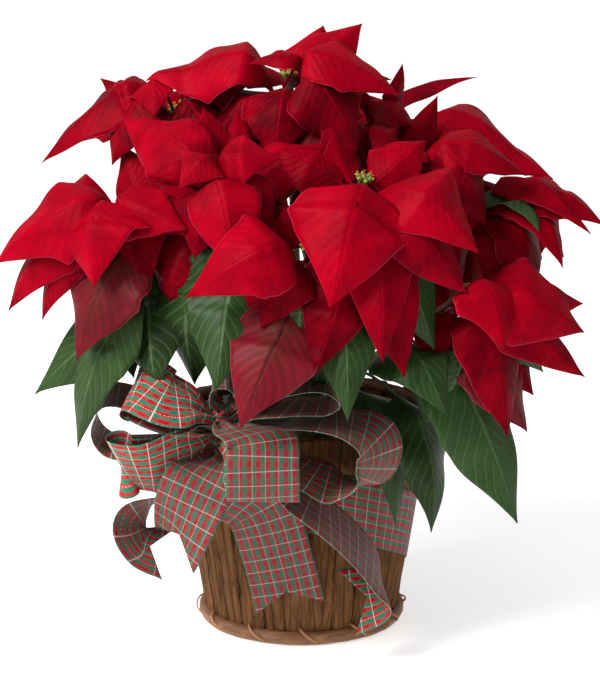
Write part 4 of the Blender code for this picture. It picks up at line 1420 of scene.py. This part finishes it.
@dataclass
class Foliage:
    """The stems, leaves, bracts and flowers."""

    palette: Palette
    stack: Stack
    branch_radius: float = 4.2
    branch_rows: int = 22
    branch_step: float = 0.02
    shoot_radius: float = 3.2
    cup_radius: float = 4.6
    stalk_inset: float = 2.3
    stalk_sink: float = 0.6
    spiral: float = 0.7
    fullness: float = 1.16
    breadth: float = 1.3
    leaf_lean: float = 0.6
    leaf_fold: float = 0.34
    leaf_ripple: float = 0.13
    bract_seed: int = 100
    knuckle: float = 0.35
    knuckle_step: int = 6
    outer_cups: int = 6
    cup_spread: float = 3.9
    cup_sink: float = 0.6
    cup_splay: float = 0.07
    counts: dict[str, int] = field(default_factory=dict)

    def stems(self) -> None:
        """Make the trunk and branches."""
        shell = Shell()
        trunk = [(0, 0, TRUNK_FOOT), (0.4, 0, 160), (-0.5, 0.3, 176), (0, 0, TRUNK_TOP - 2)]
        shell.tube(trunk, (10, 8.4, 7.8, 6.6), 14)
        for head in HEADS.values():
            path = np.array([bezier(head.branch(), u) for u in np.linspace(0, 1, self.branch_rows)])
            radii = np.linspace(self.branch_radius, self.shoot_radius, len(path))
            radii = radii + self.knuckle * (np.arange(len(path)) % self.knuckle_step == 3)
            shell.tube(path, radii, 10)
        shell.piece("stem_and_branches", [self.palette["green_stem"]], Slot.STEM, ["stems"])

    def leaves(self, below_bow: bool) -> None:
        """Make the leaves on the branches.

        Args:
            below_bow: whether to make those that hang below the bow, or the others.
        """
        for number, leaf in enumerate(LEAVES):
            if leaf.below_bow != below_bow:
                continue
            curve = HEADS[leaf.branch].branch()
            on_branch = bezier(curve, leaf.along)
            before, after = leaf.along - self.branch_step, leaf.along + self.branch_step
            ahead = unit(bezier(curve, after) - bezier(curve, before))
            chord = unit(vec(leaf.tip) - on_branch)
            away = unit(chord - ahead * chord.dot(ahead))
            radius = self.branch_radius + (self.shoot_radius - self.branch_radius) * leaf.along
            base = on_branch + away * (radius - self.stalk_sink)
            outward = unit(vec((leaf.tip[0], leaf.tip[1], 0))) + vec((0, -leaf.face, self.leaf_lean))
            shape = BladeShape(
                base, vec(leaf.tip), outward, leaf.width * self.breadth, leaf.arch, leaf.stalk, SEED + number,
                fold=self.leaf_fold, ripple=self.leaf_ripple,
            )
            shell = shape.shell(self.stack, False, leaf.tone)
            finish = "leaf_turning" if leaf.turning else "leaf_green"
            slot = Slot.TURNING if leaf.turning else Slot.GREEN
            shell.piece(leaf.name + "_blade", [self.palette[finish]], slot, [leaf.name])

    def bracts(self, layer: Sequence[Blade]) -> None:
        """Make a layer of bracts on their heads.

        Args:
            layer: the bracts, the lowest first.
        """
        for bract in layer:
            head = HEADS[bract.head]
            axis = head.axis()
            turn = self.counts.get(bract.head, 0)
            base = vec(head.at) - axis * (bract.drop + self.spiral * turn)
            chord = vec(bract.tip) - base
            base = base + unit(chord - axis * chord.dot(axis)) * self.stalk_inset
            self.counts[bract.head] = turn + 1
            outward = axis + vec((0, -bract.face, 0))
            seed = self.bract_seed + sum(self.counts.values())
            width = bract.width * self.fullness
            shape = BladeShape(base, vec(bract.tip), outward, width, bract.arch, bract.stalk, seed)
            shell = shape.shell(self.stack, bract.free, bract.tone)
            finish = "leaf_green" if bract.green else "bract_red"
            slot = Slot.GREEN if bract.green else Slot.BRACT
            name = f"bract_{bract.head}_{turn + 1:02d}"
            shell.piece(name, [self.palette[finish]], slot, ["bracts_" + bract.head])

    def shoots(self) -> None:
        """Make the shoots that carry the bracts, each swelling to the cup under its flowers."""
        for name, head in HEADS.items():
            axis = head.axis()
            wide = self.cup_radius
            profile = ((head.shoot, self.shoot_radius), *SHOOT_SWELL, (1, wide), (0, wide * 0.8))
            path = [vec(head.at) - axis * drop for drop, _ in profile]
            shell = Shell()
            shell.tube(path, [radius for _, radius in profile], 14)
            shell.piece("shoot_" + name, [self.palette["red_stalk"]], Slot.BRACT, ["bracts_" + name])

    def flowers(self) -> None:
        """Make the cluster of small flowers on every head."""
        materials = [self.palette[name] for name in FLOWER_FINISHES]
        for number, (name, head) in enumerate(HEADS.items()):
            chance = random.Random(SEED * 31 + number)
            axis = head.axis()
            across = unit(np.cross(axis, vec((0.2, 1, 0.1))))
            third = np.cross(axis, across)
            shell = Shell()
            spots = [(0.0, 0.0)]
            for k in range(self.outer_cups):
                turn = k + chance.uniform(-0.1, 0.1)
                spots.append((self.cup_spread, 2 * math.pi * turn / self.outer_cups))
            for reach, angle in spots:
                out = across * math.cos(angle) + third * math.sin(angle)
                foot = vec(head.at) + out * reach + axis * -self.cup_sink
                way = unit(axis + out * reach * self.cup_splay)
                self.cup(shell, foot, way, chance.uniform(0.75, 1.0), out, chance)
            nodes = [] if name == "centre" else ["cyathia_" + name]
            shell.piece("flowers_" + name, materials, Slot.CYATHIUM, nodes)

    @staticmethod
    def cup(
        shell: Shell, foot: np.ndarray, way: np.ndarray, size: float, out: np.ndarray, chance: random.Random
    ) -> None:
        """Add one green cup with its yellow gland and its stamens.

        Args:
            shell: the mesh to add to.
            foot: where the cup stands.
            way: the way it points.
            size: its size, about 1.
            out: the side that its gland is on.
            chance: the source of chance.
        """
        shell.tube([foot + way * height * size for height, _ in CUP], [size * r for _, r in CUP], 9)
        lip = foot + way * GLAND_HEIGHT * size + out * GLAND_REACH * size
        path = [lip + way * (height * size) for height, _ in GLAND]
        shell.tube(path, [size * r for _, r in GLAND], 8, finish=YELLOW)
        for _ in range(STAMENS):
            lean = unit(way + vec([chance.uniform(-0.5, 0.5) for _ in range(3)]))
            top = foot + way * STAMEN_HEIGHT * size
            tall = chance.uniform(1.2, 2.6)
            path = [top, top + lean * tall * 0.6, top + lean * tall, top + lean * (tall + 0.6)]
            finish = RED if chance.random() < RED_SHARE else YELLOW
            shell.tube(path, STAMEN_RADII, 6, finish=finish)


# Ribbon


@dataclass(frozen=True)
class Ribbon:
    """A length of ribbon: stations along it, each with the way its width runs there."""

    name: str
    stations: tuple[tuple[Point, Point], ...]
    notch: bool = False


KNOT = (-61.3, -106.2, 190.0)
KNOT_RADIUS = 12.0
KNOT_GAP = 0.75
RIBBON_WIDTH = 57.0


def on_knot(angle: float, height: float) -> tuple[float, float, float]:
    """A place on the knot's side.

    Args:
        angle: degrees from +X.
        height: how far above the knot's middle.

    Returns:
        The place.
    """
    x, y, z = KNOT
    reach = KNOT_RADIUS + KNOT_GAP
    turn = math.radians(angle)
    return (x + reach * math.cos(turn), y + reach * math.sin(turn), z + height)


RIBBONS = (
    Ribbon("loop_left_upper", (
        (on_knot(205, 16), (-0.3, 0.9, 0.2)), ((-86, -122, 219), (0.2, 0.93, 0.25)),
        ((-107, -130, 226), (0.33, 0.8, 0.5)), ((-126, -122, 234), (0.36, 0.74, 0.56)),
        ((-134, -117, 231), (0.36, 0.74, 0.56)), ((-126, -112, 224), (0.36, 0.74, 0.56)),
        ((-106, -122, 215), (0.33, 0.8, 0.5)), ((-86, -117, 209), (0.2, 0.93, 0.25)),
        (on_knot(205, 9), (-0.3, 0.9, 0.2)),
    )),
    Ribbon("loop_left_outer", (
        (on_knot(150, -7), (0.5, 0.85, 0)), ((-95, -90, 178), (0, 1, 0.05)),
        ((-125, -86, 173), (0, 1, 0.1)), ((-155, -86, 175), (0, 1, 0.1)),
        ((-167, -86, 193), (0, 1, 0.1)), ((-158, -86, 214), (0, 1, 0.1)),
        ((-135, -86, 212), (0, 1, 0.1)), ((-100, -92, 201), (0, 1, 0.05)),
        (on_knot(150, 3), (0.5, 0.85, 0)),
    )),
    Ribbon("loop_left_lower", (
        (on_knot(215, -4), (0.3, -0.3, 0.9)), ((-87, -129, 178), (-0.1, -0.3, 0.9)),
        ((-118, -144, 171), (-0.25, -0.5, 0.8)), ((-141, -137, 170), (-0.25, -0.5, 0.8)),
        ((-140, -125, 170), (-0.2, -0.5, 0.8)), ((-110, -122, 170), (-0.1, -0.4, 0.9)),
        ((-76, -109.5, 180), (0, 0, 1)),
    )),
    Ribbon("loop_top", (
        ((-64.5, -106.2, 211.3), (0, 1, 0)), ((-70, -108, 222), (0, 1, 0.04)),
        ((-69, -112, 236), (0, 1, 0.15)), ((-58, -112, 237), (0, 1, 0.15)),
        ((-52, -109, 223), (0, 1, 0.04)), ((-58, -106.2, 211.3), (0, 1, 0)),
    )),
    Ribbon("loop_front", (
        (on_knot(-80, 10), (1, 0.2, 0)), ((-50, -140, 204), (1, 0.2, 0)),
        ((-32, -166, 202), (1, 0.1, -0.03)), ((-30, -180, 181), (1, 0.1, -0.05)),
        ((-30, -174, 156), (1, 0.1, -0.05)), ((-30, -160, 152), (1, 0.1, -0.05)),
        ((-37, -142, 172), (1, 0.2, 0)), ((-56.5, -121, 188), (1, 0.2, 0)),
    )),
    Ribbon("loop_right_lower", (
        (on_knot(-10, 2), (0.2, 0.95, 0)), ((-20, -118, 198), (0.6, 0.8, 0)),
        ((10, -133, 206), (0.66, 0.74, 0)), ((38, -135, 204), (0.66, 0.74, 0)),
        ((57, -135, 194), (0.66, 0.74, 0)), ((62, -135, 176), (0.66, 0.74, 0)),
        ((52, -135, 157), (0.66, 0.74, 0)), ((30, -134, 153), (0.66, 0.74, 0)),
        ((4, -131, 163), (0.6, 0.8, 0)), (on_knot(-15, -8), (0.3, 0.95, 0)),
    )),
    Ribbon("loop_right_upper", (
        (on_knot(-35, 13), (0.5, 0.85, 0)), ((-30, -122, 224), (0.3, 0.95, 0)),
        ((-4, -130, 236), (0, 1, 0)), ((17, -131, 237), (0, 1, 0)),
        ((29, -130, 228), (0, 1, 0)), ((20, -128, 218), (0, 1, 0)),
        ((-4, -125, 216), (0, 1, 0)), ((-30, -116, 211), (0.2, 0.95, 0)),
        ((-45.5, -105, 203), (0, 1, 0)),
    )),
    Ribbon("tail_left_curled", (
        (on_knot(150, -18), (0.5, 0.85, 0)), ((-98, -96, 140), (0.2, 0.95, -0.1)),
        ((-122, -104, 128), (0.3, 0.94, -0.14)), ((-133, -114, 114), (0.54, 0.84, -0.07)),
        ((-124, -120, 100), (0.5, 0.84, 0.2)), ((-106, -120, 93), (0.4, 0.82, 0.4)),
    ), notch=True),
    Ribbon("tail_left", (
        (on_knot(262, -15), (1, -0.1, 0)), ((-78, -149, 165), (1, 0.15, 0)),
        ((-89, -156, 143), (0.9, -0.3, -0.1)), ((-96, -152, 122), (0.75, -0.6, -0.15)),
        ((-101, -144, 104), (0.6, -0.75, -0.2)),
    ), notch=True),
    Ribbon("tail_centre", (
        (on_knot(-68, -19), (1, 0.3, 0)), ((-58, -131, 150), (1, 0.1, 0.05)),
        ((-33, -122, 128), (0.97, 0, 0.15)), ((-20, -108, 86), (0.95, -0.05, 0.2)),
        ((-9, -95, 37), (0.95, -0.05, 0.23)),
    ), notch=True),
    Ribbon("tail_right", (
        (on_knot(-5, -17), (0, 1, 0)), ((-17, -126.5, 160), (0.2, 0.95, 0.1)),
        ((-2, -135, 146), (0.3, 0.92, 0.1)), ((16, -135, 131), (0.2, 0.97, 0.15)),
        ((40, -124, 106), (0.2, 0.97, 0.15)), ((59, -114, 79), (0.1, 0.95, 0.25)),
        ((64, -109, 57), (-0.2, 0.8, 0.5)), ((37, -107, 46), (-0.48, 0.56, 0.68)),
    ), notch=True),
)


@dataclass
class Bow:
    """The loops, tails and knot of the bow, and the band round the basket."""

    palette: Palette
    stack: Stack
    thickness: float = 0.35
    rows: int = 72
    columns: int = 17
    gather_length: float = 38.0
    gather_share: float = 0.3
    gathered: float = 0.42
    pleats: float = 2.5
    pleat_height: float = 3.2
    cupping: float = 1.6
    notch: float = 17.0
    notch_reach: float = 2.4
    knot_rows: int = 64
    knot_columns: int = 33
    knot_half: float = 20
    knot_wrap: float = 0.995
    knot_inset: float = 1.2
    knot_pinch: float = 0.38
    knot_fold: float = 1.5
    knot_crease: float = 0.35
    band_rows: int = 220
    band_columns: int = 13
    band_wrap: float = 0.9985
    band_gap: float = 1.3
    band_wave: float = 0.35
    band_edge_wave: float = 0.5
    band_lean: tuple[float, float] = (-0.57, -0.82)

    def cloth(
        self, node: str, rows: np.ndarray, uv: np.ndarray, length: float
    ) -> None:
        """Make a cut of ribbon and say that it is one.

        Args:
            node: the CAD node that it stands for.
            rows: its middle surface, rows by columns by 3.
            uv: its UVs in millimetres, rows by columns by 2.
            length: its flat length in millimetres.
        """
        shell = Shell()
        shell.sheet(rows, uv, self.thickness)
        piece = shell.piece(node + "_cloth", [self.palette["plaid_ribbon"]], Slot.RIBBON, [node])
        log.info("sheet %s: %.0f x %.0f mm", piece.name, RIBBON_WIDTH, length)

    def ribbon(self, ribbon: Ribbon) -> None:
        """Make a loop or tail.

        Args:
            ribbon: its layout.
        """
        count, wide = self.rows, self.columns
        centres = smooth_path([station[0] for station in ribbon.stations], count)
        widths = smooth_path([unit(vec(station[1])) for station in ribbon.stations], count)
        steps = np.linalg.norm(np.diff(centres, axis=0), axis=1)
        travelled = np.concatenate([[0], np.cumsum(steps)])
        length = travelled[-1]
        ahead = np.gradient(centres, axis=0)
        ahead /= np.linalg.norm(ahead, axis=1, keepdims=True)
        side = widths - ahead * (widths * ahead).sum(axis=1, keepdims=True)
        side /= np.linalg.norm(side, axis=1, keepdims=True)
        out = np.cross(side, ahead)
        from_end = travelled if ribbon.notch else np.minimum(travelled, length - travelled)
        reach = min(self.gather_length, length * self.gather_share)
        eased = np.clip(from_end / reach, 0, 1)
        eased = eased * eased * (3 - 2 * eased)
        open_width = self.gathered + (1 - self.gathered) * eased
        v = np.linspace(-1, 1, wide)
        half = RIBBON_WIDTH / 2 * open_width
        wave = np.sin(v * math.pi * self.pleats)[None, :] * (1 - eased)[:, None] * self.pleat_height
        curl = math.sin(len(ribbon.name))
        cup = -self.cupping * (v**2)[None, :] * eased[:, None] * curl
        cut = np.zeros((count, wide))
        if ribbon.notch:
            near = np.clip(1 - (length - travelled) / (self.notch_reach * self.notch), 0, 1)[:, None]
            cut = self.notch * (1 - np.abs(v))[None, :] * near
        rows = centres[:, None, :] + side[:, None, :] * (half[:, None] * v[None, :])[:, :, None]
        rows = rows + out[:, None, :] * (wave + cup)[:, :, None] - ahead[:, None, :] * cut[:, :, None]
        along = travelled[:, None] - cut
        self.stack.lay(rows[::6, ::8])
        uv = grid((v * RIBBON_WIDTH / 2 + RIBBON_WIDTH / 2)[None, :], along)
        self.cloth(ribbon.name, rows, uv, length)

    def knot(self) -> None:
        """Make the gathered wrap in the middle of the bow."""
        x, y, z = KNOT
        turn = np.linspace(0, 2 * math.pi * self.knot_wrap, self.knot_rows)
        v = np.linspace(-1, 1, self.knot_columns)
        pinch = 1 - self.knot_pinch * np.abs(v) ** 3
        fold = self.knot_fold * np.sin(v * 17)[None, :]
        fold = fold + self.knot_crease * np.sin(v * 9 + turn[:, None] * 2)
        radius = (KNOT_RADIUS - self.knot_inset) * pinch[None, :] + fold
        rows = grid(
            x + radius * np.cos(turn)[:, None], y + radius * np.sin(turn)[:, None],
            z + self.knot_half * v[None, :],
        )
        length = 2 * math.pi * KNOT_RADIUS
        around = (turn / (2 * math.pi) * length)[:, None]
        uv = grid((v * RIBBON_WIDTH / 2 + RIBBON_WIDTH / 2)[None, :], around)
        self.cloth("bow_knot", rows, uv, length)

    def band(self, basket: "Basket") -> None:
        """Make the band round the basket.

        Args:
            basket: the basket that it is wrapped round.
        """
        turn = np.linspace(0, 2 * math.pi * self.band_wrap, self.band_rows)
        v = np.linspace(-0.5, 0.5, self.band_columns)
        x, y = np.cos(turn), np.sin(turn)
        lean_x, lean_y = self.band_lean
        middle = basket.band_middle + basket.band_tilt * (x * lean_x + y * lean_y)
        level = middle[:, None] + v[None, :] * RIBBON_WIDTH
        radius = basket.radius(level) + self.band_gap + self.band_wave * np.sin(turn * 13)[:, None]
        radius = radius + self.band_edge_wave * np.sin(turn * 5)[:, None] * (v * 2) ** 2
        rows = grid(radius * x[:, None], radius * y[:, None], level)
        steps = np.linalg.norm(np.diff(rows[:, self.band_columns // 2], axis=0), axis=1)
        travelled = np.concatenate([[0], np.cumsum(steps)])
        uv = grid(((v + 0.5) * RIBBON_WIDTH)[None, :], travelled[:, None])
        self.cloth("ribbon_band", rows, uv, travelled[-1])

    def build(self, basket: "Basket") -> None:
        """Make the whole bow.

        Args:
            basket: the basket that the band is wrapped round.
        """
        self.band(basket)
        self.knot()
        for ribbon in RIBBONS:
            self.ribbon(ribbon)


# Basket and pot


# The waves of a bark strip's ragged edges: how many there are to a millimetre, and how strong
RAGGED = ((0.02, 0.07), (0.05, 0.06), (0.11, 0.05), (0.31, 0.04))


@dataclass
class Basket:
    """The bark basket: upright strips, a foot hoop with cane ties, a rim, and what stands inside."""

    palette: Palette
    height: float = 185.0
    foot_radius: float = 81.0
    rim_radius: float = 110.0
    bark: float = 4.2
    strips: int = 27
    strip_foot: float = 1.5
    strip_crown: float = 2.2
    strip_sink: float = 2.4
    strip_shift: float = 0.08
    strip_reach: tuple[float, float] = (0.49, 0.56)
    strip_depth: tuple[float, float] = (-0.5, 0.2)
    strip_wear: float = 2.5
    strip_rough: float = 0.35
    strip_rib: float = 0.5
    ties: int = 12
    tie_top: float = 15.5
    tie_height: float = 14.2
    tie_radius: float = 1.15
    tie_twist: float = 0.2
    tie_bulge: float = 7.1
    hoop_gap: float = 0.4
    hoop_bulge: float = 6.6
    hoop_middle: float = 6.35
    hoop_half: float = 6.0
    arc_steps: int = 12
    band_middle: float = 100.0
    band_tilt: float = 40.0
    rim_inset: float = 6.4
    rim_level: float = 180
    rim_half: tuple[float, float] = (2.6, 4.2)
    liner_floor: float = 9.35
    liner_top: float = 172.0
    liner_inset: float = 5.9
    film: float = 0.9
    pot_foot: float = 10.9
    pot_top: float = 168.9
    soil_foot: float = 13.6
    soil_top: float = 152
    soil_slump: float = 3
    soil_lumps: tuple[float, float] = (-1.6, 0.9)

    def radius(self, height: Any) -> Any:
        """The outside radius at a height."""
        return self.foot_radius + (self.rim_radius - self.foot_radius) * height / self.height

    def wall(self) -> None:
        """Make the upright strips of bark."""
        rows, columns = 46, 13
        for number in range(self.strips):
            chance = random.Random(SEED + 500 + number)
            shift = chance.uniform(-self.strip_shift, self.strip_shift)
            middle = 2 * math.pi * (number + shift) / self.strips
            reach = 2 * math.pi / self.strips * chance.uniform(*self.strip_reach)
            top = self.height - chance.uniform(0, self.strip_wear)
            level = np.linspace(self.strip_foot, top, rows)[:, None]
            v = np.linspace(-1, 1, columns)[None, :]
            ragged = np.zeros((rows, 2))
            for many, size in RAGGED:
                for edge in range(2):
                    ragged[:, edge] += size * np.sin(level[:, 0] * many * TURN + chance.uniform(0, TURN))
            stretch = 1 + np.where(v < 0, ragged[:, :1], ragged[:, 1:]) * np.abs(v)
            angle = middle + reach * v * stretch
            most = self.strip_rough
            rough = np.array([[chance.uniform(-most, most) for _ in range(columns)] for _ in range(rows)])
            rough = (rough + np.roll(rough, 1, 0) + np.roll(rough, 2, 0) + np.roll(rough, 3, 0)) / 2
            rib = self.strip_rib * np.sin(v * 7 + chance.uniform(0, 6) + 0.4 * np.sin(level * 0.05))
            crown = self.strip_crown * (1 - v**4) - self.strip_sink
            depth = self.radius(level) + crown + rough + rib
            depth = depth + chance.uniform(*self.strip_depth) - self.bark / 2
            points = grid(depth * np.cos(angle), depth * np.sin(angle), level)
            shell = Shell(tone=chance.random())
            shell.sheet(points, grid(v * STRIP_HALF + STRIP_PITCH * number, level), self.bark)
            shell.piece(f"bark_strip_{number + 1:02d}", [self.palette["bark"]], Slot.BARK, ["bark_wall"])

    def hoops(self) -> None:
        """Make the foot hoop, its ties and the rim's cane."""
        base = self.radius(0.4)
        outline = []
        for k in range(self.arc_steps + 1):
            turn = math.pi * k / self.arc_steps
            reach = base + self.hoop_gap + self.hoop_bulge * math.sin(turn) ** 0.75
            outline.append((reach, self.hoop_middle - self.hoop_half * math.cos(turn)))
        hoop = Shell()
        hoop.turned(outline, 160, lambda a, m: (0.35 * math.sin(7 * a) + 0.2 * math.sin(23 * a + m), 0.0))
        hoop.piece("foot_hoop_cane", [self.palette["hoop_cane"]], Slot.HOOP, ["foot_hoop"])
        for number in range(self.ties):
            self.tie(number)
        rim = Shell()
        ring = self.rim_radius - self.rim_inset
        across, up = self.rim_half
        turns = np.linspace(0, 2 * math.pi, 12, endpoint=False)
        outline = [(ring + across * math.cos(a), self.rim_level + up * math.sin(a)) for a in turns]
        rim.turned(outline, 120, lambda a, m: (0.3 * math.sin(5 * a), 0.4 * math.sin(9 * a)))
        rim.piece("rim_cane", [self.palette["hoop_cane"]], Slot.HOOP, [])

    def tie(self, number: int) -> None:
        """Make a cane tie over the foot hoop.

        Args:
            number: which tie, counted round the basket from 0.
        """
        start = 2 * math.pi * (number + 0.15) / self.ties
        path = []
        for k in range(self.arc_steps + 1):
            share = k / self.arc_steps
            angle = start + self.tie_twist * (share - 0.5)
            level = self.tie_top - self.tie_height * share
            down = min(max((self.tie_top - level) / self.tie_height, 0), 1)
            bulge = math.sin(math.pi * down) ** 0.6
            reach = self.radius(level) + 0.6 + self.tie_bulge * bulge
            path.append((reach * math.cos(angle), reach * math.sin(angle), level))
        shell = Shell()
        out = (math.cos(start), math.sin(start), 0.2)
        shell.tube(path, [self.tie_radius] * len(path), 8, flat=0.6, lean=out)
        shell.piece(f"cane_tie_{number + 1:02d}", [self.palette["tie_cane"]], Slot.HOOP, ["foot_hoop"])

    def board(self) -> None:
        """Finish the board, which keeps its CAD shape."""
        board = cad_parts["base_board"]
        board.data.materials.clear()
        board.data.materials.append(self.palette["board"])

    def liner(self) -> None:
        """Make the film between the bark and the pot."""
        liner = Shell()
        floor, top = self.liner_floor, self.liner_top
        low, high = self.radius(floor) - self.liner_inset, self.radius(top) - self.liner_inset
        outline = [(0, floor), (low, floor)]
        levels = np.linspace(floor, top, 9)[1:]
        outline += [(low + (high - low) * (z - floor) / (top - floor), z) for z in levels]
        outline += [(r - self.film, z) for r, z in outline[:1:-1]]
        outline += [(low - self.film, floor + self.film), (0, floor + self.film)]
        liner.turned(outline, 120, self.crease)
        liner.piece("liner_film", [self.palette["film_liner"]], Slot.LINER, ["liner"])

    def pot(self) -> None:
        """Make the nursery pot, with its rolled rim."""
        pot = Shell()
        foot, top = self.pot_foot, self.pot_top
        outline = (
            (0, foot), (62, foot), (64, foot + 2), (85, top - 14.4), (85.2, top - 14), (89.6, top - 14),
            (90, top - 13.4), (90, top - 0.8), (89.6, top), (88.2, top), (88, top - 0.6), (88, top - 12),
            (83, top - 15), (62, foot + 2.4), (0, foot + 2.2),
        )
        pot.turned(outline, 96)
        pot.piece("nursery_pot_shell", [self.palette["pot_plastic"]], Slot.POT, ["nursery_pot"])

    def soil(self) -> None:
        """Make the soil, lumpy on top."""
        soil = Shell()
        chance = random.Random(SEED + 3)
        lumps = [[chance.uniform(*self.soil_lumps) for _ in range(16)] for _ in range(97)]
        outline = [(0, self.soil_foot), (60.8, self.soil_foot), (80.3, 149.2)]
        outline += [(r, self.soil_top - self.soil_slump * (r / 80) ** 3) for r in np.linspace(78, 4, 12)]
        outline += [(0, self.soil_top)]

        def heave(angle: float, number: int) -> tuple[float, float]:
            """The change of radius and height, on the soil's top only."""
            on_top = 3 <= number < len(outline) - 1
            return 0.0, lumps[int(angle * 95 / TURN)][number] if on_top else 0.0

        soil.turned(outline, 96, heave)
        soil.piece("soil_top", [self.palette["peat_soil"]], Slot.SOIL, ["soil"], smooth=False)

    @staticmethod
    def crease(angle: float, number: int) -> tuple[float, float]:
        """Fold the liner a little.

        Args:
            angle: where round the basket.
            number: which outline point.

        Returns:
            The change of radius and height.
        """
        if not 2 <= number <= 16:
            return 0.0, 0.0
        return -0.9 * abs(math.sin(17 * angle + number * 0.4)) * math.sin(3 * angle + number), 0.0

    def build(self) -> None:
        """Make the whole basket and what stands inside."""
        self.wall()
        self.hoops()
        self.board()
        self.liner()
        self.pot()
        self.soil()


# Photograph's view


@dataclass(frozen=True)
class Studio:
    """A pale floor, soft light from the upper left, and the camera."""

    distance: float = 2.0
    pitch: float = math.radians(13.8)
    target: Point = (-0.0013, 0.0, 0.232)
    lens: float = 122.4
    sensor: float = 36
    sky: float = 0.46
    key: float = 90.0
    key_size: float = 1.2
    key_place: Point = (-1.4, -1.0, 1.9)
    key_aim: Point = (0.0, 0.0, 0.28)
    key_colour: Colour = (1.0, 0.985, 0.96)
    floor_reach: float = 6.0
    floor_glow: float = 0.56

    def floor(self) -> None:
        """Lay a plain pale floor."""
        mesh = bpy.data.meshes.new("floor")
        reach = self.floor_reach
        corners = [(-reach, -reach, 0), (reach, -reach, 0), (reach, reach, 0), (-reach, reach, 0)]
        mesh.from_pydata(corners, [], [(0, 1, 2, 3)])
        made = bpy.data.objects.new("floor", mesh)
        graph = Graph("floor_white")
        cloud = graph.noise(graph.place(), 3)
        colour = graph.mix(cloud * 0.1, (0.93, 0.93, 0.93), (0.9, 0.9, 0.9))
        graph.surface(colour, 0.7, Emission_Color=(1.0, 1.0, 1.0), Emission_Strength=self.floor_glow)
        mesh.materials.append(graph.material)
        bpy.context.scene.collection.objects.link(made)

    def light(self, name: str, place: Point, aim: Point, size: float, power: float, colour: Colour) -> None:
        """Hang a soft light.

        Args:
            name: its name.
            place: where it hangs.
            aim: what it points at.
            size: its width in metres.
            power: its power in watts.
            colour: its colour.
        """
        lamp = bpy.data.lights.new(name, "AREA")
        lamp.size = size
        lamp.energy = power
        lamp.color = colour
        made = bpy.data.objects.new(name, lamp)
        made.location = place
        way = Vector(aim) - Vector(place)
        made.rotation_euler = way.to_track_quat("-Z", "Y").to_euler()
        bpy.context.scene.collection.objects.link(made)

    def build(self) -> None:
        """Set the floor, the lights and the camera."""
        self.floor()
        world = bpy.data.worlds.new("studio")
        world.use_nodes = True
        world.node_tree.nodes["Background"].inputs[0].default_value = (1, 1, 1, 1)
        world.node_tree.nodes["Background"].inputs[1].default_value = self.sky
        bpy.context.scene.world = world
        bpy.context.scene.view_settings.view_transform = "Standard"
        self.light("key", self.key_place, self.key_aim, self.key_size, self.key, self.key_colour)
        camera = bpy.data.cameras.new("camera")
        camera.lens = self.lens
        camera.sensor_width = self.sensor
        made = bpy.data.objects.new("camera", camera)
        x, y, z = self.target
        back, up = self.distance * math.cos(self.pitch), self.distance * math.sin(self.pitch)
        made.location = (x, y - back, z + up)
        made.rotation_euler = (math.pi / 2 - self.pitch, 0, 0)
        bpy.context.scene.collection.objects.link(made)
        bpy.context.scene.camera = made


def main() -> None:
    """Build every sub-assembly in order."""
    logging.basicConfig(level=logging.INFO, format="%(message)s")
    palette = Palette()
    palette.fill()
    stack = Stack()
    basket = Basket(palette)
    basket.build()
    foliage = Foliage(palette, stack)
    foliage.stems()
    foliage.leaves(below_bow=True)
    Bow(palette, stack).build(basket)
    foliage.bracts(INNER_BRACTS)
    foliage.leaves(below_bow=False)
    foliage.bracts(BRACTS)
    foliage.shoots()
    foliage.flowers()
    Studio().build()
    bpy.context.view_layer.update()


if __name__ == "__main__":
    main()
